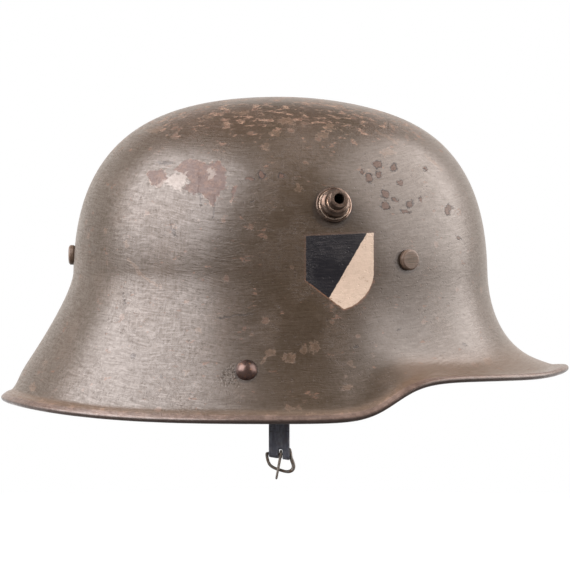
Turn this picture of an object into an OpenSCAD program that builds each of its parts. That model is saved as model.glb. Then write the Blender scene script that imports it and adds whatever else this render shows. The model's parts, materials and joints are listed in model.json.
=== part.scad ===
// Steel helmet with a stepped visor, flared skirt, stepped ventilation lugs and a sprung band liner.
// Frame: +X forward over the visor, +Y to the wearer's left, +Z up.
// The origin is the centre of the head opening, level with the lower edge of the leather liner.

/* [Shell dome] */
// Length of the dome ahead of the origin, outside
dome_half_l = 111.2; // [104:0.2:118]
// What the dome falls short of that behind the origin
rear_short = 1; // [0:0.1:4]
// Half width of the dome at its widest, outside
dome_half_w = 93; // [88:0.2:98]
// Height of the crown above the head opening
crown_z = 100; // [94:0.5:106]
// Level at which the dome's walls stand upright
dome_base_z = -5; // [-8:0.5:-2]
// Squareness of the dome's long profile, where 2 is an ellipse
dome_square = 2.7; // [2.3:0.05:3]
// Squareness of the dome's cross profile
dome_square_side = 2.65; // [2.2:0.05:2.9]
// Fall of the crown ahead of its middle, below that profile
front_fall = 1.5; // [0:0.1:2.5]
// Fall of the crown behind its middle
rear_fall = 0.6; // [0:0.1:2.5]
// Thickness of the sheet steel
sheet_t = 1.15; // [0.9:0.05:1.4]

/* [Visor and skirt] */
// Tip of the visor, forward of the origin
visor_x = 154.3; // [148:0.1:160]
// Rear edge of the skirt, behind the origin
nape_x = 148.5; // [142:0.1:154]
// Half width over the skirt
skirt_half_w = 115; // [111:0.5:119]
// Drop of the rim at the ears, below the origin
skirt_drop = 68.9; // [64:0.1:74]
// Rise of the rim from the skirt to the visor
step_rise = 20; // [14:0.5:24]
// Place of the middle of that step
step_x = 58; // [50:1:66]
// Softness of the step, larger is gentler
step_soft = 7.6; // [6:0.2:12]
// Rise of the rim at the visor's tip
visor_arch = 3.8; // [1:0.1:6]
// Rise of the rim at the nape
nape_rise = 7.9; // [4:0.1:12]
// Level at which the flare leaves the dome
flare_top_z = 7; // [4:0.5:12]
// Radius of the rolled edge
bead_r = 1.6; // [1.4:0.05:2]

/* [Ventilation lugs] */
// Place of the lug along the helmet
vent_x = 27.4; // [24:0.2:32]
// Height of the lug
vent_z = 40.2; // [36:0.2:44]
// Diameter of the lug's flange
vent_flange_d = 18.5; // [17:0.1:20]
// Thickness of the flange
vent_flange_t = 1.8; // [1.4:0.1:2.4]
// Diameter of the lug's step
vent_step_d = 14.8; // [13.5:0.1:15.5]
// Height of the step above the flange
vent_step_h = 4.4; // [3:0.1:6]
// Diameter of the lug's nose, on which a brow plate hangs
vent_nose_d = 9; // [8.5:0.1:10]
// Length of the nose beyond the step
vent_nose_l = 6.6; // [5.5:0.1:8]
// Diameter of the air hole
vent_hole_d = 5.2; // [4.6:0.1:5.8]

/* [Liner pins] */
// Height of the two front pins
pin_z = 12.8; // [11.5:0.1:15]
// Height of the rear pin
rear_pin_z = 16.1; // [12:0.1:17]
// Place of the two front pins along the helmet
pin_x = 65.5; // [62:0.1:70]
// Diameter of a pin's head
pin_head_d = 10.2; // [9:0.1:11.5]
// Height of a pin's head
pin_head_h = 3; // [2:0.1:4]
// Diameter of a pin's shank
pin_d = 4.8; // [4:0.1:5.4]
// Length of each leg where it is bent over
pin_leg_l = 8; // [6:0.5:8.5]

/* [Strap lugs] */
// Place of the strap lugs along the helmet
lug_x = -16.3; // [-24:0.1:-15]
// Height of the strap lugs
lug_z = -42.4; // [-46:0.2:-38]
// Diameter of the domed rivet head
lug_head_d = 10; // [9:0.1:11]
// Height of the domed rivet head
lug_head_h = 3.6; // [2.8:0.1:4.4]
// Diameter of the rivet's shank
lug_rivet_d = 4; // [3.4:0.1:4.6]
// Length of the post inside
lug_post_l = 6.4; // [5.5:0.1:7.5]

/* [Liner bands] */
// Room from the dome's outside to the head space, at the front and back
liner_room_l = 14.2; // [13.6:0.1:17]
// Room from the dome's outside to the head space, at the sides
liner_room_w = 13.5; // [12.8:0.1:16]
// Thickness of the leather
leather_t = 1.8; // [1.4:0.1:2]
// Thickness of each band
band_t = 1; // [0.8:0.05:1.2]
// Height of the outer band
outer_band_h = 17.5; // [15:0.5:19]
// Height of the inner band
inner_band_h = 18; // [16:0.5:20]
// Thickness of a spring leaf
leaf_t = 0.5; // [0.4:0.05:0.7]
// Length of a spring leaf
leaf_l = 23; // [18:0.5:24]

/* [Leather] */
// Height of the plain band of leather under the fingers
leather_band_h = 24; // [22:0.5:27]
// Height of the leather's dome above that band
leather_dome_h = 52; // [46:0.5:56]
// Number of fingers
finger_count = 8; // [8:2:8]
// Diameter of the lace
lace_d = 2; // [1.6:0.1:2.4]
// Diameter of the lace holes
lace_hole_d = 5.4; // [5:0.1:5.8]

/* [Chin strap] */
// Diameter of the bail's wire
bail_wire_d = 2.2; // [1.8:0.1:2.6]
// Clear width inside a bail
bail_in_w = 13; // [12.4:0.1:14]
// Distance between a bail's upper and lower bars
bail_drop = 11; // [10.5:0.1:14]
// Width of the strap
strap_w = 10.6; // [9:0.1:11.4]
// Distance from the bail's bar to the buckle's bar
strap_l = 72.3; // [60:0.1:90]
// Thickness of one layer of strap leather
strap_t = 1.5; // [1.2:0.1:1.8]
// Width over the buckle frame
buckle_w = 15; // [14.8:0.1:18]
// Distance between the buckle's bar and its lower wire
buckle_drop = 8.5; // [7.8:0.1:11]
// Diameter of the buckle's wire
buckle_wire_d = 1.5; // [1.2:0.1:1.8]
// Length of the prong from the bar to its tip
prong_l = 13; // [12.6:0.1:16]
// Sideways lean of the worn prong, in degrees
prong_lean = 8; // [0:1:10]

/* [Hidden] */

$fn = 48;
touch = 0.03;          // gap left between faces that meet
run_gap = 0.06;        // radial clearance of a bar in its eye
hole_gap = 0.2;        // radial clearance of a fastener in its hole
facet_gap = 0.1;       // what a flat head stands off a curved wall
rivet_gap = 0.05;      // radial clearance of a small rivet
drill_l = 40;          // passes any wall at its seat

// Shell surface
shell_cols = 80;
dome_rows = 18;
flare_rows = 10;
bead_rows = 8;
inner_dome_rows = 11;
inner_flare_rows = 6;
bead_turn = 286;       // the roll ends against the inner face
dome_h = crown_z - dome_base_z;
dome_rear_l = dome_half_l - rear_short;
fall_peak = 27 / 256;  // largest value of the fall's curve below
nape_curve = 2.8;
visor_arch_x = 118;    // the visor's rim rises forward of this
shape_x = 64;          // the visor's shelf fades into the skirt here
shape_soft = 13;

// Length of the upper handle, length of the lower handle, slope of the lip below level
flare_side = [26, 17, 52];
flare_visor = [23, 31, 1.5];
flare_nape = [14, 9, 41];

// Bands and leather, as half lengths and half widths from the head outwards
leather_gap = 0.9;     // room for rivet heads behind the leather
spring_gap = 3.6;      // room for the leaves between the bands
head_half_l = dome_half_l - liner_room_l;
head_half_w = dome_half_w - liner_room_w;
head_oval = [head_half_l, head_half_w];
leather_oval = grow(head_oval, leather_t);
inner_band_in = grow(leather_oval, leather_gap);
inner_band_out = grow(inner_band_in, band_t);
outer_band_in = grow(inner_band_out, spring_gap);
outer_band_out = grow(outer_band_in, band_t);
inner_band_z = 2;
outer_band_z = (pin_z + rear_pin_z - outer_band_h) / 2;
oval_pts = 120;

// Fasteners
boss_d = 13;
washer_l = 18;
washer_w = 11;
washer_t = 0.8;
washer_corner_r = 2;
rivet_head_t = 0.4;
leaf_w = 9;
leaf_z = 13;
leaf_rivet_d = 2.4;
leather_rivet_z = 5;
leather_rivet_d = 2;

// Leather fingers
finger_pitch = 360 / finger_count;
finger_cells = 7;
leather_square = 2.2;
leather_band_rows = 2;
finger_rows = 11;
finger_reach = 76;     // sweep of the finger's curve, in degrees
lace_reach = 67;

// Chin strap
bracket_t = 0.8;
bracket_w = 24;
bracket_h = 11;
curl_w = 9;
curl_r = bail_wire_d / 2 + run_gap + bracket_t;
bail_y = inner_band_out.y + touch + curl_r;
bail_z = -2;
bracket_rivet_x = 8.5;
bracket_seat = 0.4;    // the flat plate stands off the band's curve at its rivets
strap_top_z = bail_z - bail_drop;
buckle_z = strap_top_z - strap_l;
strap_fold_r = bail_wire_d / 2 + run_gap + strap_t;
strap_end_r = 2.6;
strap_taper = 7;       // the two layers come together over this length
fold_inset = 0.1;      // they start inside the round of each fold
fold_foot = 0.4;
strap_rivet_z = -11;
slot_w = 2.9;
slot_l = 6;
buckle_top_corner = 1.2;
buckle_low_corner = 3.4;
prong_d = 1.4;
prong_eye_w = 2.3;

// Small helpers
function grow(oval, t) = [oval.x + t, oval.y + t];
function mix(a, b, k) = a + (b - a) * k;
function unit(v) = v / norm(v);
function smooth_tanh(q) = (1 - exp(-2 * q)) / (1 + exp(-2 * q));
function flat(v) = [for (part = v) each part];

// Dome, from the crown at s = 0 to the start of the flare at s = 1
function dome_exp(phi) = mix(dome_square, dome_square_side, pow(sin(phi), 2));
function dome_sweep(phi) = acos(pow((flare_top_z - dome_base_z) / dome_h, dome_exp(phi) / 2));
function dome_len(phi) = (dome_half_l + dome_rear_l) / 2 + (dome_half_l - dome_rear_l) / 2 * cos(phi);
function crown_fall(q) = (q > 0 ? front_fall : rear_fall) * pow(q, 2) * pow(1 - pow(q, 2), 3) / fall_peak;
function dome_pt(phi, s) =
    let (e = 2 / dome_exp(phi), t = s * dome_sweep(phi), u = pow(sin(t), e), v = pow(cos(t), e))
    [dome_len(phi) * u * cos(phi), dome_half_w * u * sin(phi),
     dome_base_z + dome_h * v - crown_fall(u * cos(phi)) * v * v];
function dome_end_slope(phi) =
    let (e = 2 / dome_exp(phi), t = dome_sweep(phi), du = pow(sin(t), e - 1) * cos(t))
    unit([dome_len(phi) * du * cos(phi), dome_half_w * du * sin(phi), -dome_h * pow(cos(t), e - 1) * sin(t)]);

// Centre line of the rolled edge
function logistic(q) = 1 / (1 + exp(-q));
function rim_bottom(x) =
    -skirt_drop + step_rise * logistic((x - step_x) / step_soft)
    + visor_arch * pow(max(0, x - visor_arch_x) / (visor_x - visor_arch_x), 3)
    + nape_rise * pow(max(0, lug_x - x) / (nape_x + lug_x), nape_curve);
function rim_centre(phi) =
    let (mean = (visor_x + nape_x) / 2 - bead_r, shift = (visor_x - nape_x) / 2,
         x = (mean + shift * cos(phi)) * cos(phi))
    [x, (skirt_half_w - bead_r) * sin(phi), rim_bottom(x) + bead_r];

// Flare, from the dome at t = 0 to the rolled edge at t = 1
function flare_set(phi) =
    let (visor = logistic((rim_centre(phi).x - shape_x) / shape_soft), nape = pow(max(0, -cos(phi)), 1.5))
    flare_side + (flare_visor - flare_side) * visor + (flare_nape - flare_side) * nape;
function lip_out(phi) =
    let (d = rim_centre(phi) - dome_pt(phi, 1))
    unit([d.x, d.y, 0]);
function lip_along(phi, slope) = lip_out(phi) * cos(slope) - [0, 0, sin(slope)];
function lip_normal(phi, slope) = lip_out(phi) * sin(slope) + [0, 0, cos(slope)];
function flare_handles(phi) =
    let (set = flare_set(phi), start = dome_pt(phi, 1),
         finish = rim_centre(phi) + bead_r * lip_normal(phi, set[2]))
    [start, start + set[0] * dome_end_slope(phi), finish - set[1] * lip_along(phi, set[2]), finish];
function bezier(h, t) =
    pow(1 - t, 3) * h[0] + 3 * t * pow(1 - t, 2) * h[1] + 3 * t * t * (1 - t) * h[2] + pow(t, 3) * h[3];
function shell_pt(phi, s) = s <= 1 ? dome_pt(phi, s) : bezier(flare_handles(phi), s - 1);

// Outward normal of the shell, from neighbouring points
function shell_normal(phi, s) =
    let (round_step = 0.5, down_step = 0.004,
         around = shell_pt(phi + round_step, s) - shell_pt(phi - round_step, s),
         down = shell_pt(phi, min(2, s + down_step)) - shell_pt(phi, s - down_step))
    unit(cross(down, around));
function inner_pt(phi, s) = shell_pt(phi, s) - sheet_t * shell_normal(phi, s);
function bead_pt(phi, turn) =
    let (slope = flare_set(phi)[2])
    rim_centre(phi) + bead_r * (cos(turn) * lip_normal(phi, slope) + sin(turn) * lip_along(phi, slope));

// Seat of a fastener: the place on the outer face with the given x and z, and the normal there
function level_s(phi, z, low = 0, high = 2, n = 22) =
    let (mid = (low + high) / 2)
    n == 0 ? mid : shell_pt(phi, mid).z > z ? level_s(phi, z, mid, high, n - 1) : level_s(phi, z, low, mid, n - 1);
function seat_phi(x, z, phi, n = 8) =
    let (p = shell_pt(phi, level_s(phi, z)))
    n == 0 ? phi : seat_phi(x, z, phi + (p.x - x) / (1.2 * p.y) * 180 / PI, n - 1);
function shell_seat(x, z) =
    let (phi = seat_phi(x, z, acos(x / dome_half_l)), s = level_s(phi, z))
    [shell_pt(phi, s), shell_normal(phi, s)];
function level_seat(seat) = [seat[0], unit([seat[1].x, seat[1].y, 0])];

vent_seat = shell_seat(vent_x, vent_z);
lug_seat = shell_seat(lug_x, lug_z);
front_pin_seat = level_seat(shell_seat(pin_x, pin_z));
rear_pin_seat = [shell_pt(180, level_s(180, rear_pin_z)), [-1, 0, 0]];

// A closed skin over rings of points, each ring as long as the first
function ring_faces(rings, n, closed = false) = [
    for (i = [0:rings - (closed ? 1 : 2)], j = [0:n - 1])
        let (a = i * n + j, b = i * n + (j + 1) % n,
             next = ((i + 1) % rings) * n, c = next + j, d = next + (j + 1) % n)
        each [[a, b, d], [a, d, c]]
];

module at_seat(seat) {
    translate(seat[0])
        rotate([0, acos(seat[1].z), atan2(seat[1].y, seat[1].x)])
            children();
}

module on_both_sides() {
    children();
    mirror([0, 1, 0]) children();
}

module at_pins() {
    on_both_sides() at_seat(front_pin_seat) children();
    at_seat(rear_pin_seat) children();
}

// Pressed shell with its rolled edge, before the holes
module shell_skin() {
    phis = [for (j = [0:shell_cols - 1]) 360 * j / shell_cols];
    outer_s = concat([for (i = [1:dome_rows]) i / dome_rows], [for (i = [1:flare_rows]) 1 + i / flare_rows]);
    inner_s = concat(
        [for (i = [inner_flare_rows - 1:-1:1]) 1 + i / inner_flare_rows],
        [for (i = [inner_dome_rows:-1:1]) i / inner_dome_rows]
    );
    outer = [for (s = outer_s) [for (phi = phis) shell_pt(phi, s)]];
    bead = [for (i = [1:bead_rows]) [for (phi = phis) bead_pt(phi, bead_turn * i / bead_rows)]];
    inner = [for (s = inner_s) [for (phi = phis) inner_pt(phi, s)]];
    rings = concat(outer, bead, inner);
    pts = concat(flat(rings), [[0, 0, crown_z], [0, 0, crown_z - sheet_t]]);
    top = len(rings) * shell_cols;
    last = top - shell_cols;
    caps = [for (j = [0:shell_cols - 1])
        let (k = (j + 1) % shell_cols)
        each [[top, k, j], [top + 1, last + j, last + k]]];
    polyhedron(pts, concat([for (f = ring_faces(len(rings), shell_cols)) [f[0], f[1], f[2]]], caps));
}

module shell() {
    color([0.36, 0.34, 0.29]) difference() {
        shell_skin();
        on_both_sides() {
            at_seat(vent_seat) cylinder(d = vent_shank_d + 2 * hole_gap, h = drill_l, center = true);
            at_seat(lug_seat) cylinder(d = lug_rivet_d + 2 * hole_gap, h = drill_l, center = true);
        }
        at_pins() cylinder(d = pin_d + 2 * hole_gap, h = drill_l, center = true);
    }
}

// Ventilation lug: flange, step and nose in one turning, with the air hole through it
vent_wall_t = 2.3;     // wall of the shank round the air hole
vent_shank_d = vent_hole_d + 2 * vent_wall_t;
vent_washer_t = 1.2;
vent_washer_w = 3;     // width of the washer's ring
vent_seat_sink = 0.15;  // the flat flange touches the curved shell round its hole
vent_washer_d = vent_shank_d + 2 * vent_washer_w;
vent_washer_sag = 0.62;  // the flat washer touches the shell round its edge
vent_inner_z = -sheet_t - vent_washer_sag - vent_washer_t;

module vent_lug() {
    step_z = vent_flange_t + vent_step_h;
    top_z = step_z + vent_nose_l;
    hole_r = vent_hole_d / 2;
    shank_r = vent_shank_d / 2;
    flange_r = vent_flange_d / 2;
    step_r = vent_step_d / 2;
    nose_r = vent_nose_d / 2;
    soft = 0.5;            // softened edges
    groove = 0.5;          // the nose is necked where it meets the step
    groove_l = 0.8;
    peen_t = 1.1;          // the shank's end, riveted over its washer
    peen_r = shank_r + 1.2;
    foot_z = touch - vent_seat_sink;
    at_seat(vent_seat) rotate_extrude($fn = 96) polygon([
        [hole_r, vent_inner_z - peen_t], [peen_r - soft, vent_inner_z - peen_t],
        [peen_r, vent_inner_z - peen_t + soft], [peen_r, vent_inner_z],
        [shank_r, vent_inner_z], [shank_r, foot_z], [flange_r - soft, foot_z],
        [flange_r, foot_z + soft], [flange_r, vent_flange_t - soft], [flange_r - soft, vent_flange_t],
        [step_r, vent_flange_t], [step_r, step_z - 2 * soft], [step_r - 2 * soft, step_z],
        [nose_r - groove, step_z], [nose_r - groove, step_z + groove_l], [nose_r, step_z + groove_l + groove],
        [nose_r, top_z - soft], [nose_r - soft, top_z], [hole_r + soft, top_z], [hole_r, top_z - soft]
    ]);
}

module vent_lug_left() {
    color([0.30, 0.25, 0.21]) vent_lug();
}

module vent_lug_right() {
    color([0.30, 0.25, 0.21]) mirror([0, 1, 0]) vent_lug();
}

module vent_lug_washers() {
    color([0.33, 0.30, 0.27]) on_both_sides() at_seat(vent_seat)
        translate([0, 0, vent_inner_z + touch]) difference() {
            cylinder(d = vent_washer_d, h = vent_washer_t - touch);
            cylinder(d = vent_shank_d + 2 * facet_gap, h = drill_l, center = true);
        }
}

// Depth of an oval below a seat, along the seat's own normal
function oval_hit(oval, seat, n = 12, d = 0) =
    let (p = seat[0] - d * seat[1], q = sqrt(pow(p.x / oval.x, 2) + pow(p.y / oval.y, 2)))
    n == 0 ? d : oval_hit(oval, seat, n - 1, d + (q - 1) * min(oval.x, oval.y));

// Depth of the outer face of a flat washer that lies across the inside of the outer band at a pin
function washer_depth(seat) =
    let (along = [-seat[1].y, seat[1].x, 0] * washer_l / 2)
    facet_gap + max([for (end = [-1, 0, 1]) oval_hit(outer_band_in, [seat[0] + end * along, seat[1]])]);

head_seat = 0.2;       // a flat head touches the leaning wall at one edge
pin_leg_t = 1.3;
pin_leg_w = pin_d * 0.8;

// Split pin: a flat head outside, and two legs bent over the washer inside
module split_pin(seat) {
    bend_z = -washer_depth(seat) - washer_t - touch;
    foot_z = bend_z - pin_leg_t;
    head_r = pin_head_d / 2;
    soft = 0.4;            // softened edges
    at_seat(seat) {
        rotate_extrude() polygon([
            [0, head_seat], [head_r - soft, head_seat], [head_r, head_seat + soft],
            [head_r, pin_head_h - 2 * soft], [head_r - soft, pin_head_h - soft], [head_r - 3 * soft, pin_head_h], [0, pin_head_h]
        ]);
        translate([0, 0, foot_z]) cylinder(d = pin_d, h = head_seat + soft - foot_z);
        translate([-pin_leg_w / 2, -pin_leg_l - pin_d / 2, foot_z])
            cube([pin_leg_w, 2 * pin_leg_l + pin_d, pin_leg_t]);
    }
}

module liner_pins() {
    color([0.34, 0.29, 0.25]) {
        on_both_sides() split_pin(front_pin_seat);
        split_pin(rear_pin_seat);
    }
}

module pin_washer(seat) {
    flat_size = [washer_w, washer_l] - 2 * washer_corner_r * [1, 1];
    at_seat(seat) translate([0, 0, -washer_depth(seat) - washer_t]) difference() {
        linear_extrude(washer_t) offset(r = washer_corner_r) square(flat_size, center = true);
        cylinder(d = pin_d + 2 * hole_gap, h = drill_l, center = true);
    }
}

module pin_washers() {
    color([0.62, 0.62, 0.60]) {
        on_both_sides() pin_washer(front_pin_seat);
        pin_washer(rear_pin_seat);
    }
}

// Strap lug: a rivet with a domed head outside, and a headed post inside
post_base_t = 1.2;
post_base_d = 13;
post_stem_d = 6.6;
post_head_d = 11;
post_head_w = 9;       // the post's round head is cut flat on two sides
post_head_t = 1.5;
post_seat = 0.35;      // the flat base touches the curved shell at two sides
lug_tail_t = 0.8;      // the rivet's end, spread over the post
lug_inner_z = -sheet_t - post_seat;

module strap_lug_rivet() {
    cap_r = (pow(lug_head_d / 2, 2) + pow(lug_head_h, 2)) / (2 * lug_head_h);
    tail_z = lug_inner_z - lug_post_l;
    at_seat(lug_seat) {
        intersection() {
            translate([0, 0, lug_head_h - cap_r]) sphere(r = cap_r, $fn = 64);
            translate([0, 0, head_seat]) cylinder(d = 2 * lug_head_d, h = lug_head_h);
        }
        translate([0, 0, tail_z - lug_tail_t / 2]) cylinder(d = lug_rivet_d, h = lug_head_h / 2 - tail_z);
        translate([0, 0, tail_z - lug_tail_t])
            cylinder(d1 = lug_rivet_d * 1.15, d2 = lug_rivet_d * 1.5, h = lug_tail_t - touch);
    }
}

module strap_lug_rivets() {
    color([0.33, 0.24, 0.19]) on_both_sides() strap_lug_rivet();
}

module strap_lug_post() {
    at_seat(lug_seat) translate([0, 0, lug_inner_z - lug_post_l]) difference() {
        union() {
            translate([0, 0, lug_post_l - post_base_t]) cylinder(d = post_base_d, h = post_base_t);
            cylinder(d = post_stem_d, h = lug_post_l);
            intersection() {
                cylinder(d = post_head_d, h = post_head_t);
                cube([post_head_w, post_head_d, 2 * post_head_t], center = true);
            }
        }
        cylinder(d = lug_rivet_d + 2 * run_gap, h = drill_l, center = true);
    }
}

module strap_lug_post_left() {
    color([0.40, 0.36, 0.32]) strap_lug_post();
}

module strap_lug_post_right() {
    color([0.40, 0.36, 0.32]) mirror([0, 1, 0]) strap_lug_post();
}

// Oval bands of the liner
module oval(size) {
    polygon([for (i = [0:oval_pts - 1]) let (a = 360 * i / oval_pts) [size.x * cos(a), size.y * sin(a)]]);
}

module oval_band(inside, outside, z, h) {
    translate([0, 0, z]) linear_extrude(h) difference() {
        oval(outside);
        oval(inside);
    }
}

boss_seat = 0.75;      // the boss meets the shell round its edge
boss_foot_d = boss_d + 1;
boss_face_d = boss_d - 4;

// Pressed boss that carries the outer band against the shell at a pin
module band_boss(seat) {
    start = -oval_hit(outer_band_out, seat) - band_t / 2;
    finish = -sheet_t - boss_seat;
    at_seat(seat) translate([0, 0, start]) cylinder(d1 = boss_foot_d, d2 = boss_face_d, h = finish - start);
}

module outer_band() {
    color([0.66, 0.66, 0.64]) difference() {
        union() {
            oval_band(outer_band_in, outer_band_out, outer_band_z, outer_band_h);
            on_both_sides() band_boss(front_pin_seat);
            band_boss(rear_pin_seat);
        }
        at_pins() cylinder(d = pin_d + 2 * hole_gap, h = drill_l, center = true);
    }
}

module inner_band() {
    color([0.63, 0.63, 0.61]) difference() {
        oval_band(inner_band_in, inner_band_out, inner_band_z, inner_band_h);
        at_fingers(leaf_z) rivet_hole(leaf_rivet_d);
        at_fingers(leather_rivet_z) rivet_hole(leather_rivet_d);
        on_both_sides() at_bracket_rivets() rivet_hole(leaf_rivet_d);
    }
}

// Places round the inner band, one behind each leather finger, with local +Z outwards
function band_seat(phi, z) = [
    [inner_band_out.x * cos(phi), inner_band_out.y * sin(phi), z],
    unit([cos(phi) / inner_band_out.x, sin(phi) / inner_band_out.y, 0])
];

module at_fingers(z) {
    for (k = [0:finger_count - 1]) at_seat(band_seat((k + 0.5) * finger_pitch, z)) children();
}

module at_bracket_rivets() {
    for (x = [-bracket_rivet_x, bracket_rivet_x])
        at_seat([[x, inner_band_out.y * sqrt(1 - pow(x / inner_band_out.x, 2)), bracket_rivet_z], [0, 1, 0]])
            children();
}

// Spring leaf: a bowed strip, riveted to the inner band, whose ends press on the outer band
leaf_seat = 0.15;      // the flat of a leaf lies across the band's facets

module spring_leaf() {
    rise = spring_gap - leaf_t - leaf_seat - 0.3;
    steps = 16;
    function bow(x) = leaf_seat + rise * pow(sin(180 * x / leaf_l), 4);
    line = [for (i = [0:steps]) let (x = leaf_l * (i / steps - 0.5)) [x, bow(x) - x * x / (2 * inner_band_out.x)]];
    back = [for (i = [steps:-1:0]) line[i] + [0, leaf_t]];
    difference() {
        rotate([90, 0, 90]) translate([0, 0, -leaf_w / 2])
            linear_extrude(leaf_w) polygon(concat(line, back));
        rivet_hole(leaf_rivet_d);
    }
}

module spring_leaves() {
    color([0.45, 0.47, 0.50]) at_fingers(leaf_z) spring_leaf();
}

// A rivet along +Z that holds everything between the levels low and high
module rivet(low, high, d) {
    head_d = d * 1.9;
    translate([0, 0, low - rivet_head_t]) cylinder(d = head_d, h = rivet_head_t);
    translate([0, 0, low - rivet_head_t / 2]) cylinder(d = d, h = high - low + rivet_head_t);
    translate([0, 0, high]) cylinder(d1 = head_d, d2 = head_d * 0.7, h = rivet_head_t);
}

module rivet_hole(d) {
    cylinder(d = d + 2 * rivet_gap, h = drill_l, center = true);
}

module leaf_rivets() {
    color([0.55, 0.50, 0.42]) at_fingers(leaf_z)
        rivet(-band_t - facet_gap, leaf_seat + leaf_t + facet_gap, leaf_rivet_d);
}

module leather_rivets() {
    color([0.60, 0.55, 0.45]) at_fingers(leather_rivet_z)
        rivet(head_half_l - inner_band_out.x - 2 * facet_gap, facet_gap, leather_rivet_d);
}

// Leather: a closed band that divides into fingers, which curve in over the crown
function leather_face(phi, rise, off) =
    let (e = 2 / leather_square,
         z = rise <= 0 ? leather_band_h * (1 + rise) : leather_band_h + leather_dome_h * pow(sin(rise), e),
         u = rise <= 0 ? 1 : pow(cos(rise), e),
         p = [head_half_l * u * cos(phi), head_half_w * u * sin(phi), z],
         q = max(0, z - leather_band_h) / leather_dome_h,
         n = unit([pow(u, leather_square - 1) * cos(phi) / head_half_l,
                   pow(u, leather_square - 1) * sin(phi) / head_half_w,
                   pow(q, leather_square - 1) / leather_dome_h]))
    p + off * n;

// Half angle of a finger at a row, drawn in at its tip
function finger_half(row) =
    let (k = max(0, row - leather_band_rows) / finger_rows)
    finger_pitch / 2 - 0.9 - 3.2 * k - 6 * pow(k, 14);

module leather_hide() {
    rows = leather_band_rows + finger_rows;
    lines = finger_cells + 1;
    cols = finger_count * lines;
    rises = concat(
        [for (i = [0:leather_band_rows - 1]) i / leather_band_rows - 1],
        [for (i = [0:finger_rows]) finger_reach * i / finger_rows]
    );
    function used(i, c) = i >= 0 && i < rows && (i < leather_band_rows || c % lines != finger_cells);
    function line_phi(i, c) =
        (floor(c / lines) + 0.5) * finger_pitch + finger_half(i) * (2 * (c % lines) / finger_cells - 1);
    layer = (rows + 1) * cols;
    pts = [for (off = [0, leather_t], i = [0:rows], c = [0:cols - 1]) leather_face(line_phi(i, c), rises[i], off)];
    function in(i, c) = i * cols + c % cols;
    function out(i, c) = layer + in(i, c);
    faces = [for (i = [0:rows - 1], c = [0:cols - 1]) if (used(i, c))
        let (before = (c + cols - 1) % cols, after = (c + 1) % cols)
        each concat(
            [[out(i, c), out(i + 1, c + 1), out(i, c + 1)], [out(i, c), out(i + 1, c), out(i + 1, c + 1)]],
            [[in(i, c), in(i, c + 1), in(i + 1, c + 1)], [in(i, c), in(i + 1, c + 1), in(i + 1, c)]],
            used(i, before) ? [] : [[in(i, c), in(i + 1, c), out(i + 1, c)], [in(i, c), out(i + 1, c), out(i, c)]],
            used(i, after) ? [] : [[in(i, c + 1), out(i + 1, c + 1), in(i + 1, c + 1)],
                                   [in(i, c + 1), out(i, c + 1), out(i + 1, c + 1)]],
            used(i - 1, c) ? [] : [[in(i, c), out(i, c + 1), in(i, c + 1)], [in(i, c), out(i, c), out(i, c + 1)]],
            used(i + 1, c) ? [] : [[in(i + 1, c), in(i + 1, c + 1), out(i + 1, c + 1)],
                                   [in(i + 1, c), out(i + 1, c + 1), out(i + 1, c)]]
        )];
    polyhedron(pts, faces);
}

function lace_seat(phi) =
    let (p = leather_face(phi, lace_reach, leather_t / 2))
    [p, unit(leather_face(phi, lace_reach, leather_t) - p)];

module leather_liner() {
    color([0.45, 0.30, 0.18]) difference() {
        leather_hide();
        for (k = [0:finger_count - 1])
            at_seat(lace_seat((k + 0.5) * finger_pitch)) cylinder(d = lace_hole_d, h = drill_l, center = true);
        at_fingers(leather_rivet_z) rivet_hole(leather_rivet_d);
    }
}

// Lace: out through one finger, in through the next, all the way round
lace_samples = 9;
lace_gap = 0.5;
lace_knot_d = lace_d * 2.2;
lace_bend = 1.76;      // how softly the lace turns through a hole

function lace_pt(phi) =
    let (k = floor(phi / finger_pitch), from_hole = phi - (k + 0.5) * finger_pitch,
         radius = norm(lace_seat(phi)[0] - [0, 0, lace_seat(phi)[0].z]),
         side = k % 2 == 0 ? 1 : -1,
         swing = (leather_t + lace_d) / 2 + lace_gap,
         off = side * swing * smooth_tanh(from_hole * PI / 180 * radius / lace_bend))
    leather_face((phi + 360) % 360, lace_reach, leather_t / 2 + off);

function lace_phi(i) =
    let (k = floor(i / lace_samples), v = ((i % lace_samples) - (lace_samples - 1) / 2) / (lace_samples / 2))
    (k + 0.5) * finger_pitch + finger_pitch / 2 * (0.45 * v + 0.55 * pow(v, 3));

module liner_lace() {
    sides = 6;
    rings = finger_count * lace_samples;
    knot_phi = 180;
    pts = [for (i = [0:rings - 1])
        let (here = lace_pt(lace_phi(i)), ahead = lace_pt(lace_phi(i) + 0.4), behind = lace_pt(lace_phi(i) - 0.4),
             along = unit(ahead - behind), up = unit(cross(along, [0, 0, 1])), across = cross(along, up))
        for (j = [0:sides - 1]) let (a = 360 * j / sides)
            here + lace_d / 2 * (cos(a) * up + sin(a) * across)];
    color([0.38, 0.27, 0.18]) {
        polyhedron(pts, [for (f = ring_faces(rings, sides, true)) [f[0], f[2], f[1]]]);
        translate(lace_pt(knot_phi)) sphere(d = lace_knot_d);
    }
}

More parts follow.
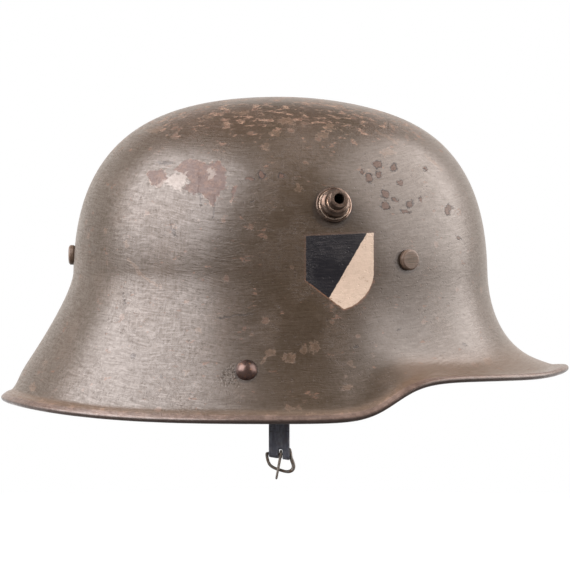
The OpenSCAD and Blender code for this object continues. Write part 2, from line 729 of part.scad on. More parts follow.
// A closed loop of wire in the XZ plane, hanging from its upper bar at the origin
module wire_loop(w, drop, r, top_corner, low_corner) {
    half = w / 2;
    for (side = [-1, 1]) {
        translate([side * half, 0, -drop + low_corner]) cylinder(r = r, h = drop - low_corner - top_corner);
        translate([side * (half - top_corner), 0, -top_corner]) rotate([90, 0, 0])
            rotate([0, 0, side > 0 ? 0 : 90]) rotate_extrude(angle = 90) translate([top_corner, 0]) circle(r = r);
        translate([side * (half - low_corner), 0, -drop + low_corner]) rotate([90, 0, 0])
            rotate([0, 0, side > 0 ? -90 : 180]) rotate_extrude(angle = 90) translate([low_corner, 0]) circle(r = r);
    }
    translate([-half + top_corner, 0, 0]) rotate([0, 90, 0]) cylinder(r = r, h = w - 2 * top_corner);
    translate([-half + low_corner, 0, -drop]) rotate([0, 90, 0]) cylinder(r = r, h = w - 2 * low_corner);
}

// Bail bracket: a riveted plate whose lower tab curls round the bail
bracket_rivet_up = 6;
bracket_rivet_z = inner_band_z + bracket_rivet_up;
bracket_corner = 3;
bracket_slant = 2;
bail_corner = 1.8;

module bail_bracket() {
    plate_y = inner_band_out.y + touch;
    plate_z = inner_band_z + 0.8;
    difference() {
        union() {
            translate([0, plate_y + bracket_t, plate_z]) rotate([90, 0, 0]) linear_extrude(bracket_t) polygon([
                [-bracket_w / 2, bracket_slant], [-curl_w / 2, 0], [-curl_w / 2, bail_z - plate_z],
                [curl_w / 2, bail_z - plate_z], [curl_w / 2, 0], [bracket_w / 2, bracket_slant],
                [bracket_w / 2, bracket_h - bracket_corner], [bracket_w / 2 - bracket_corner, bracket_h],
                [bracket_corner - bracket_w / 2, bracket_h], [-bracket_w / 2, bracket_h - bracket_corner]
            ]);
            translate([-curl_w / 2, bail_y - 0.05, bail_z]) rotate([0, 90, 0]) cylinder(r = curl_r, h = curl_w);
        }
        translate([-curl_w, bail_y, bail_z]) rotate([0, 90, 0])
            cylinder(r = bail_wire_d / 2 + run_gap, h = 2 * curl_w);
        at_bracket_rivets() rivet_hole(leaf_rivet_d);
    }
}

module bail_bracket_left() {
    color([0.58, 0.58, 0.56]) bail_bracket();
}

module bail_bracket_right() {
    color([0.58, 0.58, 0.56]) mirror([0, 1, 0]) bail_bracket();
}

module bracket_rivets() {
    color([0.60, 0.55, 0.45]) on_both_sides() at_bracket_rivets()
        rivet(-band_t - 2.5 * facet_gap, bracket_seat + bracket_t + facet_gap, leaf_rivet_d);
}

module bail() {
    translate([0, bail_y, bail_z])
        wire_loop(bail_in_w + bail_wire_d, bail_drop, bail_wire_d / 2, bail_corner, bail_corner);
}

module bail_left() {
    color([0.52, 0.52, 0.52]) bail();
}

module bail_right() {
    color([0.52, 0.52, 0.52]) mirror([0, 1, 0]) bail();
}

// Short half of the chin strap, doubled round the bail above and the buckle's bar below
module chin_strap() {
    fold_side = strap_fold_r - fold_inset;
    end_side = strap_end_r - fold_inset;
    color([0.13, 0.15, 0.19]) translate([0, -bail_y, strap_top_z]) difference() {
        union() {
            rotate([0, 90, 0]) cylinder(r = strap_fold_r, h = strap_w, center = true);
            translate([-strap_w / 2, 0, 0]) rotate([90, 0, 90]) linear_extrude(strap_w) polygon([
                [-fold_side, -fold_foot], [fold_side, -fold_foot],
                [strap_t, -strap_taper], [strap_t, strap_taper - strap_l], [end_side, fold_foot - strap_l],
                [-end_side, fold_foot - strap_l], [-strap_t, strap_taper - strap_l], [-strap_t, -strap_taper]
            ]);
            translate([0, 0, -strap_l]) rotate([0, 90, 0]) cylinder(r = strap_end_r, h = strap_w, center = true);
        }
        rotate([0, 90, 0]) cylinder(d = bail_wire_d + 2 * run_gap, h = strap_w + 2, center = true);
        translate([0, 0, -strap_l]) rotate([0, 90, 0])
            cylinder(d = buckle_wire_d + 2 * run_gap, h = strap_w + 2, center = true);
        translate([-slot_w / 2, -drill_l / 2, -strap_l - drill_l]) cube([slot_w, drill_l, slot_l + drill_l]);
        translate([0, 0, strap_rivet_z]) rotate([90, 0, 0]) rivet_hole(leaf_rivet_d);
    }
}

module strap_rivet() {
    color([0.50, 0.46, 0.38]) translate([0, -bail_y, strap_top_z + strap_rivet_z]) rotate([90, 0, 0])
        rivet(-strap_t - touch, strap_t + touch, leaf_rivet_d);
}

// Buckle: a frame of wire with rounded lower corners, and a prong that lies over it
module buckle_frame() {
    color([0.42, 0.42, 0.42]) translate([0, -bail_y, buckle_z])
        wire_loop(buckle_w - buckle_wire_d, buckle_drop, buckle_wire_d / 2,
                  buckle_top_corner, buckle_low_corner);
}

module buckle_prong() {
    lay = (buckle_wire_d + prong_d) / 2 + touch;
    eye_r = lay + prong_d / 2 - 0.05;
    color([0.40, 0.40, 0.40]) translate([0, -bail_y, buckle_z]) difference() {
        union() {
            rotate([0, 90, 0]) cylinder(r = eye_r, h = prong_eye_w, center = true);
            translate([0, -lay, 0]) rotate([0, prong_lean, 0]) {
                translate([0, 0, -prong_l + prong_d / 2]) cylinder(d = prong_d, h = prong_l - prong_d / 2);
                translate([0, 0, -prong_l + prong_d / 2]) sphere(d = prong_d);
            }
        }
        rotate([0, 90, 0]) cylinder(d = buckle_wire_d + 2 * run_gap, h = prong_eye_w + 2, center = true);
    }
}

shell();
vent_lug_right();
vent_lug_left();
vent_lug_washers();
liner_pins();
pin_washers();
strap_lug_rivets();
strap_lug_post_right();
strap_lug_post_left();
outer_band();
inner_band();
spring_leaves();
leaf_rivets();
leather_liner();
leather_rivets();
liner_lace();
bail_bracket_right();
bail_bracket_left();
bracket_rivets();
bail_right();
bail_left();
chin_strap();
strap_rivet();
buckle_frame();
buckle_prong();
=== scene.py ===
import json
import math

import bpy
import numpy as np
from bpy.props import FloatProperty, FloatVectorProperty, IntProperty, PointerProperty
from bpy.types import Operator, Panel, PropertyGroup
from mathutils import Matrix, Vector


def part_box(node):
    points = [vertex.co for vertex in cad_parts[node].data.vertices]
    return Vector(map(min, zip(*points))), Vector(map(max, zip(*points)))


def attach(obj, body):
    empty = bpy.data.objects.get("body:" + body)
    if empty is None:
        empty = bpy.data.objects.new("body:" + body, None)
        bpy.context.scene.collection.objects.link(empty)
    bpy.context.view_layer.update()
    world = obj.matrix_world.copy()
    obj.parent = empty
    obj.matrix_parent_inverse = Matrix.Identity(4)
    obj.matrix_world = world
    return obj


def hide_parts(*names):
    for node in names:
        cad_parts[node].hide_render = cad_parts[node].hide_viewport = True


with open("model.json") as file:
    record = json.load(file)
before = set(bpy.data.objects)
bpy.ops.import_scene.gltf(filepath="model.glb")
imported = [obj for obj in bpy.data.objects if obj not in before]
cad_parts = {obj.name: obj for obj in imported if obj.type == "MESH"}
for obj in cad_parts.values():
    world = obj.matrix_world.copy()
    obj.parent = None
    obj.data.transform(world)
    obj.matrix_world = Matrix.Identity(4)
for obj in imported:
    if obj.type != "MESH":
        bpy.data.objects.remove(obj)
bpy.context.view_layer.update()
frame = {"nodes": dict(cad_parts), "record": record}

bl_info = {
    "name": "Steel helmet",
    "version": (1, 0, 0),
    "blender": (4, 5, 0),
    "location": "View3D > Sidebar > Helmet",
    "description": "Pressed steel helmet with a sprung leather liner and a short chin strap",
    "category": "Object",
}

SHELL_LOW, SHELL_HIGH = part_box("shell")
BAND_LOW, BAND_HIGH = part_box("outer_band")
INNER_LOW, INNER_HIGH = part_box("inner_band")
JOINT_AT = {joint["name"]: joint["pos_m"] for joint in frame["record"]["behaviour"]["joints"]}
SIDES = (1, -1)
WHITE = (1, 1, 1, 1)


# Properties

def length(name, description, default):
    return FloatProperty(name=name, description=description, default=default, unit="LENGTH", precision=5)


def angle(name, description, degrees):
    return FloatProperty(name=name, description=description, default=math.radians(degrees), subtype="ANGLE")


def colour(name, description, default):
    return FloatVectorProperty(
        name=name, description=description, default=default, subtype="COLOR", size=3, min=0, max=1)


def share(name, description, default, low=0.0, high=1.0):
    return FloatProperty(name=name, description=description, default=default, min=low, max=high)


class ShellSizes(PropertyGroup):
    dome_half_l: length("Dome front", "Length of the dome ahead of the origin", 0.1112)
    rear_short: length("Rear shortfall", "What the dome falls short of that behind the origin", 0.001)
    dome_half_w: length("Dome half width", "Half width of the dome at its widest", 0.093)
    crown_z: length("Crown height", "Height of the crown above the head opening", SHELL_HIGH.z)
    dome_base_z: length("Dome base", "Level at which the dome's walls stand upright", -0.005)
    dome_square: share("Long squareness", "Squareness of the dome's long profile", 2.7, 2, 4)
    dome_square_side: share("Cross squareness", "Squareness of the dome's cross profile", 2.65, 2, 4)
    front_fall: length("Front fall", "Fall of the crown ahead of its middle", 0.0015)
    rear_fall: length("Rear fall", "Fall of the crown behind its middle", 0.0006)
    sheet_t: length("Sheet", "Thickness of the sheet steel", 0.00115)
    visor_x: length("Visor reach", "Tip of the visor, forward of the origin", SHELL_HIGH.x)
    nape_x: length("Nape reach", "Rear edge of the skirt, behind the origin", -SHELL_LOW.x)
    skirt_half_w: length("Skirt half width", "Half width over the skirt", SHELL_HIGH.y)
    skirt_drop: length("Skirt drop", "Drop of the rim at the ears", -SHELL_LOW.z)
    step_rise: length("Step rise", "Rise of the rim from the skirt to the visor", 0.020)
    step_x: length("Step place", "Place of the middle of that step", 0.058)
    step_soft: length("Step softness", "Softness of the step", 0.0076)
    visor_arch: length("Visor arch", "Rise of the rim at the visor's tip", 0.0038)
    nape_rise: length("Nape rise", "Rise of the rim at the nape", 0.0079)
    flare_top_z: length("Flare top", "Level at which the flare leaves the dome", 0.007)
    bead_r: length("Edge radius", "Radius of the rolled edge", 0.0016)
    bead_turn: angle("Edge turn", "Turn of the rolled edge", 286)
    rim_hollow: length("Hollow above the edge", "Depth of the hollow that sets off the rolled edge", 0.0006)
    nape_hollow: length("Hollow at the nape", "Depth of that hollow at the back", 0.0020)
    columns: IntProperty(name="Columns", description="Columns of faces round the shell", default=360, min=60)


class FittingSizes(PropertyGroup):
    vent_x: length("Lug place", "Place of a ventilation lug along the helmet", 0.0274)
    vent_z: length("Lug height", "Height of a ventilation lug", 0.0402)
    vent_flange_d: length("Flange", "Diameter of the lug's flange", 0.0185)
    vent_flange_t: length("Flange thickness", "Thickness of the lug's flange", 0.0018)
    vent_step_d: length("Step", "Diameter of the lug's step", 0.0148)
    vent_step_h: length("Step height", "Height of the lug's step", 0.0044)
    vent_nose_d: length("Nose", "Diameter of the lug's nose", 0.0096)
    vent_nose_l: length("Nose length", "Length of the lug's nose", 0.0066)
    vent_hole_d: length("Air hole", "Diameter of the lug's air hole", 0.0052)
    vent_wall: length("Lug wall", "Wall of the lug's tube through the shell", 0.0023)
    vent_washer_t: length("Lug washer", "Thickness of the washer under the lug's tail", 0.0012)
    pin_x: length("Pin place", "Place of the two front pins along the helmet", 0.0655)
    pin_z: length("Front pin height", "Height of the two front pins", 0.0128)
    rear_pin_z: length("Rear pin height", "Height of the rear pin", 0.0161)
    pin_head_d: length("Pin head", "Diameter of a pin's head", 0.0106)
    pin_head_h: length("Pin head height", "Height of a pin's head", 0.003)
    pin_d: length("Pin shank", "Diameter of a pin's shank", 0.0048)
    pin_leg_l: length("Pin leg", "Length of each leg where it is bent over", 0.008)
    lug_x: length("Strap lug place", "Place of the strap lugs along the helmet", -0.0163)
    lug_z: length("Strap lug height", "Height of the strap lugs", -0.0424)
    lug_head_d: length("Domed head", "Diameter of the domed rivet head", 0.0110)
    lug_head_h: length("Domed head height", "Height of the domed rivet head", 0.0036)
    lug_rivet_d: length("Strap lug rivet", "Diameter of the rivet's shank", 0.004)
    lug_post_l: length("Post", "Length of the strap post inside", 0.0064)


class LinerSizes(PropertyGroup):
    head_half_l: length("Head half length", "Half length of the head space", 0.097)
    head_half_w: length("Head half width", "Half width of the head space", 0.0795)
    leather_t: length("Leather", "Thickness of the leather", 0.0018)
    leather_band_h: length("Leather band", "Height of the plain band of leather", 0.024)
    leather_dome_h: length("Leather dome", "Height of the leather's dome above the band", 0.052)
    leather_square: share("Leather squareness", "Squareness of the leather's dome", 2.2, 2, 4)
    finger_count: IntProperty(name="Fingers", description="Number of leather fingers", default=8, min=4)
    finger_reach: angle("Finger reach", "Sweep of a finger's curve", 76)
    lace_reach: angle("Lace reach", "Sweep at which the lace runs", 67)
    lace_d: length("Lace", "Diameter of the lace", 0.002)
    lace_hole_d: length("Lace hole", "Diameter of the lace holes", 0.0054)
    band_t: length("Band", "Thickness of each band", 0.001)
    leaf_rivet_d: length("Leaf rivet", "Diameter of the leaves' rivets", 0.0024)
    leather_rivet_d: length("Leather rivet", "Diameter of the leather's rivets", 0.002)
    leather_gap: length("Leather gap", "Gap between the leather and the inner band", 0.0009)
    leaf_gap: length("Leaf gap", "Gap between the two bands, in which the leaves lie", 0.0036)
    leaf_rivet_z: length("Leaf rivet height", "Height of the leaves' rivets", 0.013)
    leather_rivet_z: length("Leather rivet height", "Height of the leather's rivets", 0.005)
    bracket_rivet_x: length("Bracket rivet place", "Place of a bracket's rivets before and behind it", 0.0085)
    bracket_rivet_z: length("Bracket rivet height", "Height of the brackets' rivets", 0.008)


class StrapSizes(PropertyGroup):
    width: length("Strap width", "Width of the strap", 0.0106)
    leather_t: length("Strap leather", "Thickness of one layer of strap leather", 0.0015)
    bail_wire_d: length("Bail wire", "Diameter of the bail's wire", 0.0022)
    buckle_wire_d: length("Buckle wire", "Diameter of the buckle's wire", 0.0015)
    slot_l: length("Slot", "Length of the prong's slot above the bar, in front", 0.0029)
    slot_back_l: length("Slot behind", "Length of the prong's slot above the bar, behind", 0.0024)
    rivet_drop: length("Strap rivet", "Distance of the strap's rivet below the bail's bar", 0.011)
    prong_d: length("Prong", "Diameter of the prong", 0.0014)
    prong_l: length("Prong length", "Length of the prong", 0.013)


class Finishes(PropertyGroup):
    paint: colour("Paint", "Brushed field paint", (0.044, 0.0295, 0.0165))
    paint_thin: colour("Thin paint", "Field paint where the brush left it thin", (0.062, 0.042, 0.027))
    paint_deep: colour("Deep paint", "Field paint where it lies thick", (0.032, 0.021, 0.0115))
    inside_paint: colour("Inside paint", "Paint inside the shell", (0.074, 0.068, 0.052))
    primer: colour("Worn layer", "Brown layer under the paint", (0.150, 0.086, 0.060))
    primer_dark: colour("Dark worn layer", "Darker patches of that layer", (0.088, 0.046, 0.034))
    rubbed: colour("Rubbed paint", "Paint of the crown where hands rubbed it", (0.064, 0.041, 0.031))
    tan: colour("Tan spots", "Tan layer that shows in the spots", (0.175, 0.118, 0.080))
    bare_layer: colour("Bare place", "Layer that shows in the large bare place", (0.072, 0.042, 0.036))
    # Pale colour that paints the glint of the polished flakes
    bright: colour("Bright flake", "Polished flake at the bare place", (0.20, 0.175, 0.155))
    # This colour paints the stain above the rolled edge, and also the painted light on upward faces low on
    # the shell
    edge_stain_and_top_light: colour("Edge stain", "Stained paint above the rolled edge", (0.150, 0.100, 0.068))
    edge_worn: colour("Worn edge", "Rolled edge where it is worn", (0.122, 0.086, 0.072))
    edge_dark: colour("Dark edge", "Rolled edge where it is dark", (0.080, 0.052, 0.042))
    rust: colour("Rust", "Rust in the chips", (0.170, 0.085, 0.045))
    chip_edge: colour("Chip edge", "Pale broken edge of a chip", (0.23, 0.170, 0.130))
    shield_dark: colour("Shield, dark field", "Dark field of the painted shield", (0.0050, 0.0052, 0.0085))
    shield_pale: colour("Shield, pale field", "Pale field of the painted shield", (0.50, 0.405, 0.325))
    steel: colour("Bare steel", "Browned bare steel", (0.520, 0.410, 0.345))
    steel_dark: colour("Dark steel", "Darkest browning of the bare steel", (0.130, 0.090, 0.070))
    # Rubbed edges, their colour made pale enough to paint their highlights as well
    edge_bright: colour("Rubbed edge", "Bare steel where its edges are rubbed", (0.78, 0.70, 0.62))
    zinc: colour("Band metal", "Plated steel of the bands", (0.50, 0.50, 0.49))
    hide: colour("Hide", "Leather of the liner", (0.235, 0.118, 0.052))
    hide_dark: colour("Worn hide", "Leather where hands and hair darkened it", (0.085, 0.040, 0.020))
    lace: colour("Lace", "Lace through the fingers", (0.20, 0.125, 0.066))
    strap: colour("Strap", "Dark strap leather", (0.082, 0.092, 0.122))
    strap_worn: colour("Worn strap", "Rubbed strap leather", (0.180, 0.195, 0.235))
    brass: colour("Rivets", "Dull brass of the small rivets", (0.36, 0.27, 0.14))
    buckle: colour("Buckle", "Dull steel of the buckle", (0.215, 0.200, 0.180))
    crack: colour("Cracks", "Cracks in the brushed paint", (0.020, 0.013, 0.009))
    crown_flake: colour("Crown flakes", "Pale flakes on the crown", (0.26, 0.185, 0.135))
    pore: colour("Pores", "Small pits of the paint", (0.030, 0.019, 0.012))
    chip_dark: colour("Dark chip edge", "Dark broken edge of a chip", (0.012, 0.008, 0.006))
    # This colour paints the dark marks, and also the painted shadows below the fittings
    dirt_and_shade: colour("Dirt", "Dirt round the fittings, and dark marks", (0.018, 0.012, 0.009))
    shield_scuff: colour("Shield scuffs", "Scuffs on the dark field", (0.030, 0.028, 0.030))
    shield_stain: colour("Shield stains", "Stains on the pale field", (0.22, 0.14, 0.09))
    # Painted shade on the underside of the rolled edge, where it faces down
    edge_underside_painted_shade: colour("Edge from below", "Dirt on the underside of the rolled edge", (0.030, 0.021, 0.018))
    browned_deep: colour("Browned rivet, dark", "Dark clouds of the domed rivets", (0.030, 0.018, 0.015))
    browned: colour("Browned rivet", "Browned steel of the domed rivets", (0.082, 0.052, 0.045))
    steel_hollow: colour("Steel hollows", "Dirt in the corners of bare steel", (0.030, 0.020, 0.015))
    zinc_dull: colour("Dull band metal", "Dull patches of the bands", (0.30, 0.285, 0.26))
    spring_dark: colour("Spring, dark", "Dark clouds of the spring leaves", (0.15, 0.165, 0.19))
    spring: colour("Spring", "Blued steel of the spring leaves", (0.30, 0.31, 0.33))
    brass_hollow: colour("Rivet hollows", "Dirt in the corners of the small rivets", (0.05, 0.035, 0.02))
    hide_fibre: colour("Hide fibres", "Pale fibres of the hide", (0.34, 0.20, 0.10))
    lace_fibre: colour("Lace fibres", "Pale fibres of the lace", (0.34, 0.25, 0.16))
    strap_stain: colour("Strap stains", "Brown stains on the strap", (0.090, 0.078, 0.074))
    strap_crack: colour("Strap cracks", "Cracks of the strap's grain", (0.012, 0.011, 0.012))
    buckle_stain: colour("Buckle stains", "Rusty patches of the buckle", (0.12, 0.065, 0.035))


class StageSizes(PropertyGroup):
    view_distance: length("Camera distance", "Distance of the camera from the helmet's middle", 1.5)
    view_width: length("View width", "Width of the view at the helmet's middle", 0.30495)
    view_x: length("View centre", "Place of the view's centre along the helmet", 0.00294)
    floor_z: length("Floor", "Level of the floor", -0.172)


class SteelHelmet(PropertyGroup):
    shell: PointerProperty(type=ShellSizes)
    fittings: PointerProperty(type=FittingSizes)
    liner: PointerProperty(type=LinerSizes)
    strap: PointerProperty(type=StrapSizes)
    finishes: PointerProperty(type=Finishes)
    stage: PointerProperty(type=StageSizes)


# Forms

def unit(v):
    return v / np.linalg.norm(v, axis=-1, keepdims=True)


def stack(*parts):
    return np.stack(np.broadcast_arrays(*parts), axis=-1)


def logistic(q):
    """A smooth step from 0 to 1."""
    return 1 / (1 + np.exp(-q))


class Seat:
    """A place on a wall: a point, the wall's outward normal, and two directions in the wall."""

    def __init__(self, point, normal):
        self.point = np.asarray(point, float)
        self.normal = unit(np.asarray(normal, float))
        self.round = unit(np.array([-self.normal[1], self.normal[0], 0.0]))
        self.down = np.cross(self.round, self.normal)

    def mirrored(self):
        flip = np.array([1, -1, 1])
        return Seat(self.point * flip, self.normal * flip)

    def level(self):
        return Seat(self.point, self.normal * [1, 1, 0])

    def place(self, down, around, out):
        return self.point + stack(down, around, out) @ np.array([self.down, self.round, self.normal])


class ShellForm:
    """Outer face of the shell. phi runs round from the visor, s down: crown 0, top of the flare 1, rim 2."""

    # Handles of the flare's curve at the dome and at the lip, and the lip's slope in degrees
    side_set = np.array([0.026, 0.017, 52])
    visor_set = np.array([0.023, 0.031, 1.5])
    nape_set = np.array([0.014, 0.009, 41])
    visor_arch_x = 0.118
    nape_curve = 2.8
    shape_x = 0.064
    shape_soft = 0.013
    # Distance from the edge, width, and fade towards the dome of the hollow: at the sides, at the nape
    hollow_set = ((0.0062, 0.0066), (0.0029, 0.0031), (1.6, 2.6))

    def __init__(self, size, fittings):
        self.size = size
        self.lug_x = fittings.lug_x
        self.dome_h = size.crown_z - size.dome_base_z

    def exponent(self, phi):
        low, high = self.size.dome_square, self.size.dome_square_side
        return low + (high - low) * np.sin(phi) ** 2

    def sweep(self, phi):
        share_up = (self.size.flare_top_z - self.size.dome_base_z) / self.dome_h
        return np.arccos(share_up ** (self.exponent(phi) / 2))

    def dome_len(self, phi):
        return self.size.dome_half_l - self.size.rear_short * (1 - np.cos(phi)) / 2

    def crown_fall(self, q):
        peak = 27 / 256
        deepest = np.where(q > 0, self.size.front_fall, self.size.rear_fall)
        return deepest * q ** 2 * (1 - q ** 2) ** 3 / peak

    def dome(self, phi, s):
        size, e, t = self.size, 2 / self.exponent(phi), s * self.sweep(phi)
        u, v = np.sin(t) ** e, np.cos(t) ** e
        fall = self.crown_fall(u * np.cos(phi)) * v * v
        return stack(self.dome_len(phi) * u * np.cos(phi), size.dome_half_w * u * np.sin(phi),
                     size.dome_base_z + self.dome_h * v - fall)

    def dome_end_slope(self, phi):
        size, e, t = self.size, 2 / self.exponent(phi), self.sweep(phi)
        du = np.sin(t) ** (e - 1) * np.cos(t)
        return unit(stack(self.dome_len(phi) * du * np.cos(phi), size.dome_half_w * du * np.sin(phi),
                          -self.dome_h * np.cos(t) ** (e - 1) * np.sin(t)))

    def rim_bottom(self, x):
        size = self.size
        visor = np.maximum(0, x - self.visor_arch_x) / (size.visor_x - self.visor_arch_x)
        nape = np.maximum(0, self.lug_x - x) / (size.nape_x + self.lug_x)
        return (size.step_rise * logistic((x - size.step_x) / size.step_soft) - size.skirt_drop
                + size.visor_arch * visor ** 3 + size.nape_rise * nape ** self.nape_curve)

    def rim_centre(self, phi):
        size = self.size
        mean, shift = (size.visor_x + size.nape_x) / 2 - size.bead_r, (size.visor_x - size.nape_x) / 2
        x = (mean + shift * np.cos(phi)) * np.cos(phi)
        return stack(x, (size.skirt_half_w - size.bead_r) * np.sin(phi), self.rim_bottom(x) + size.bead_r)

    def flare_set(self, phi):
        visor = logistic((self.rim_centre(phi)[..., 0] - self.shape_x) / self.shape_soft)[..., None]
        nape = (np.maximum(0, -np.cos(phi)) ** 1.5)[..., None]
        to_visor, to_nape = self.visor_set - self.side_set, self.nape_set - self.side_set
        return self.side_set + to_visor * visor + to_nape * nape

    def lip(self, phi):
        """Directions along the lip and square to it, at each phi."""
        slope = np.radians(self.flare_set(phi)[..., 2:3])
        away = (self.rim_centre(phi) - self.dome(phi, 1)) * [1, 1, 0]
        out, up = unit(away), np.array([0, 0, 1.0])
        return out * np.cos(slope) - up * np.sin(slope), out * np.sin(slope) + up * np.cos(slope)

    def flare(self, phi, t):
        size, handles, (along, normal) = self.size, self.flare_set(phi), self.lip(phi)
        start, finish = self.dome(phi, 1), self.rim_centre(phi) + size.bead_r * normal
        upper = start + handles[..., 0:1] * self.dome_end_slope(phi)
        lower = finish - handles[..., 1:2] * along
        point = ((1 - t) ** 3 * start + 3 * t * (1 - t) ** 2 * upper
                 + 3 * t * t * (1 - t) * lower + t ** 3 * finish)
        off = np.linalg.norm(finish - point, axis=-1, keepdims=True)
        nape = (np.maximum(0, -np.cos(phi)) ** 3)[..., None]
        depth = size.rim_hollow + (size.nape_hollow - size.rim_hollow) * nape
        deepest, width, fade = (side + (back - side) * nape for side, back in self.hollow_set)
        hollow = np.exp(-((off - deepest) / np.where(off > deepest, fade * width, width)) ** 2)
        return point - depth * hollow * normal

    def outer(self, phi, s):
        return self.dome(phi, s) if s <= 1 else self.flare(phi, s - 1)

    def normal(self, phi, s):
        around = self.outer(phi + 0.004, s) - self.outer(phi - 0.004, s)
        down = self.outer(phi, min(2, s + 0.003)) - self.outer(phi, s - 0.003)
        return unit(np.cross(down, around))

    def inner(self, phi, s):
        return self.outer(phi, s) - self.size.sheet_t * self.normal(phi, s)

    def bead(self, phi, turn):
        along, normal = self.lip(phi)
        return self.rim_centre(phi) + self.size.bead_r * (np.cos(turn) * normal + np.sin(turn) * along)

    def level_s(self, phi, z):
        low, high = 0.0, 2.0
        for _ in range(30):
            mid = (low + high) / 2
            low, high = (mid, high) if self.outer(phi, mid)[2] > z else (low, mid)
        return low

    def seat(self, x, z):
        """The seat on the left side with the given x and z."""
        phi = math.acos(x / self.size.dome_half_l)
        for _ in range(12):
            p = self.outer(phi, self.level_s(phi, z))
            phi += (p[0] - x) / (1.2 * p[1])
        s = self.level_s(phi, z)
        return Seat(self.outer(phi, s), self.normal(phi, s))

    def rear_seat(self, z):
        return Seat(self.outer(math.pi, self.level_s(math.pi, z)), [-1, 0, 0])


# Mesh work

def rounded(corners, radius, steps=4, closed=False):
    """A profile with its corners rounded. Each point gets +1 on an outer corner, -1 on an inner one."""
    count, line = len(corners), []
    for i, corner in enumerate(corners):
        here = np.array(corner[:2], float)
        if not closed and i in (0, count - 1):
            line.append((*here, 0.0))
            continue
        back, ahead = (np.array(corners[k % count][:2], float) - here for k in (i - 1, i + 1))
        room = min(np.linalg.norm(back), np.linalg.norm(ahead)) * 0.45
        back, ahead = unit(back), unit(ahead)
        half = math.acos(np.clip(back @ ahead, -1, 1)) / 2
        trim = min(room, (corner[2] if len(corner) > 2 else radius) / max(math.tan(half), 1e-6))
        turn = back[0] * ahead[1] - back[1] * ahead[0]
        if trim < 1e-7 or abs(turn) < 1e-3:
            line.append((*here, 0.0))
            continue
        start, finish = here + back * trim, here + ahead * trim
        for k in range(steps + 1):
            t = k / steps
            p = (1 - t) ** 2 * start + 2 * t * (1 - t) * here + t * t * finish
            line.append((*p, math.copysign(math.sin(math.pi * (0.15 + 0.7 * t)), turn)))
    return line


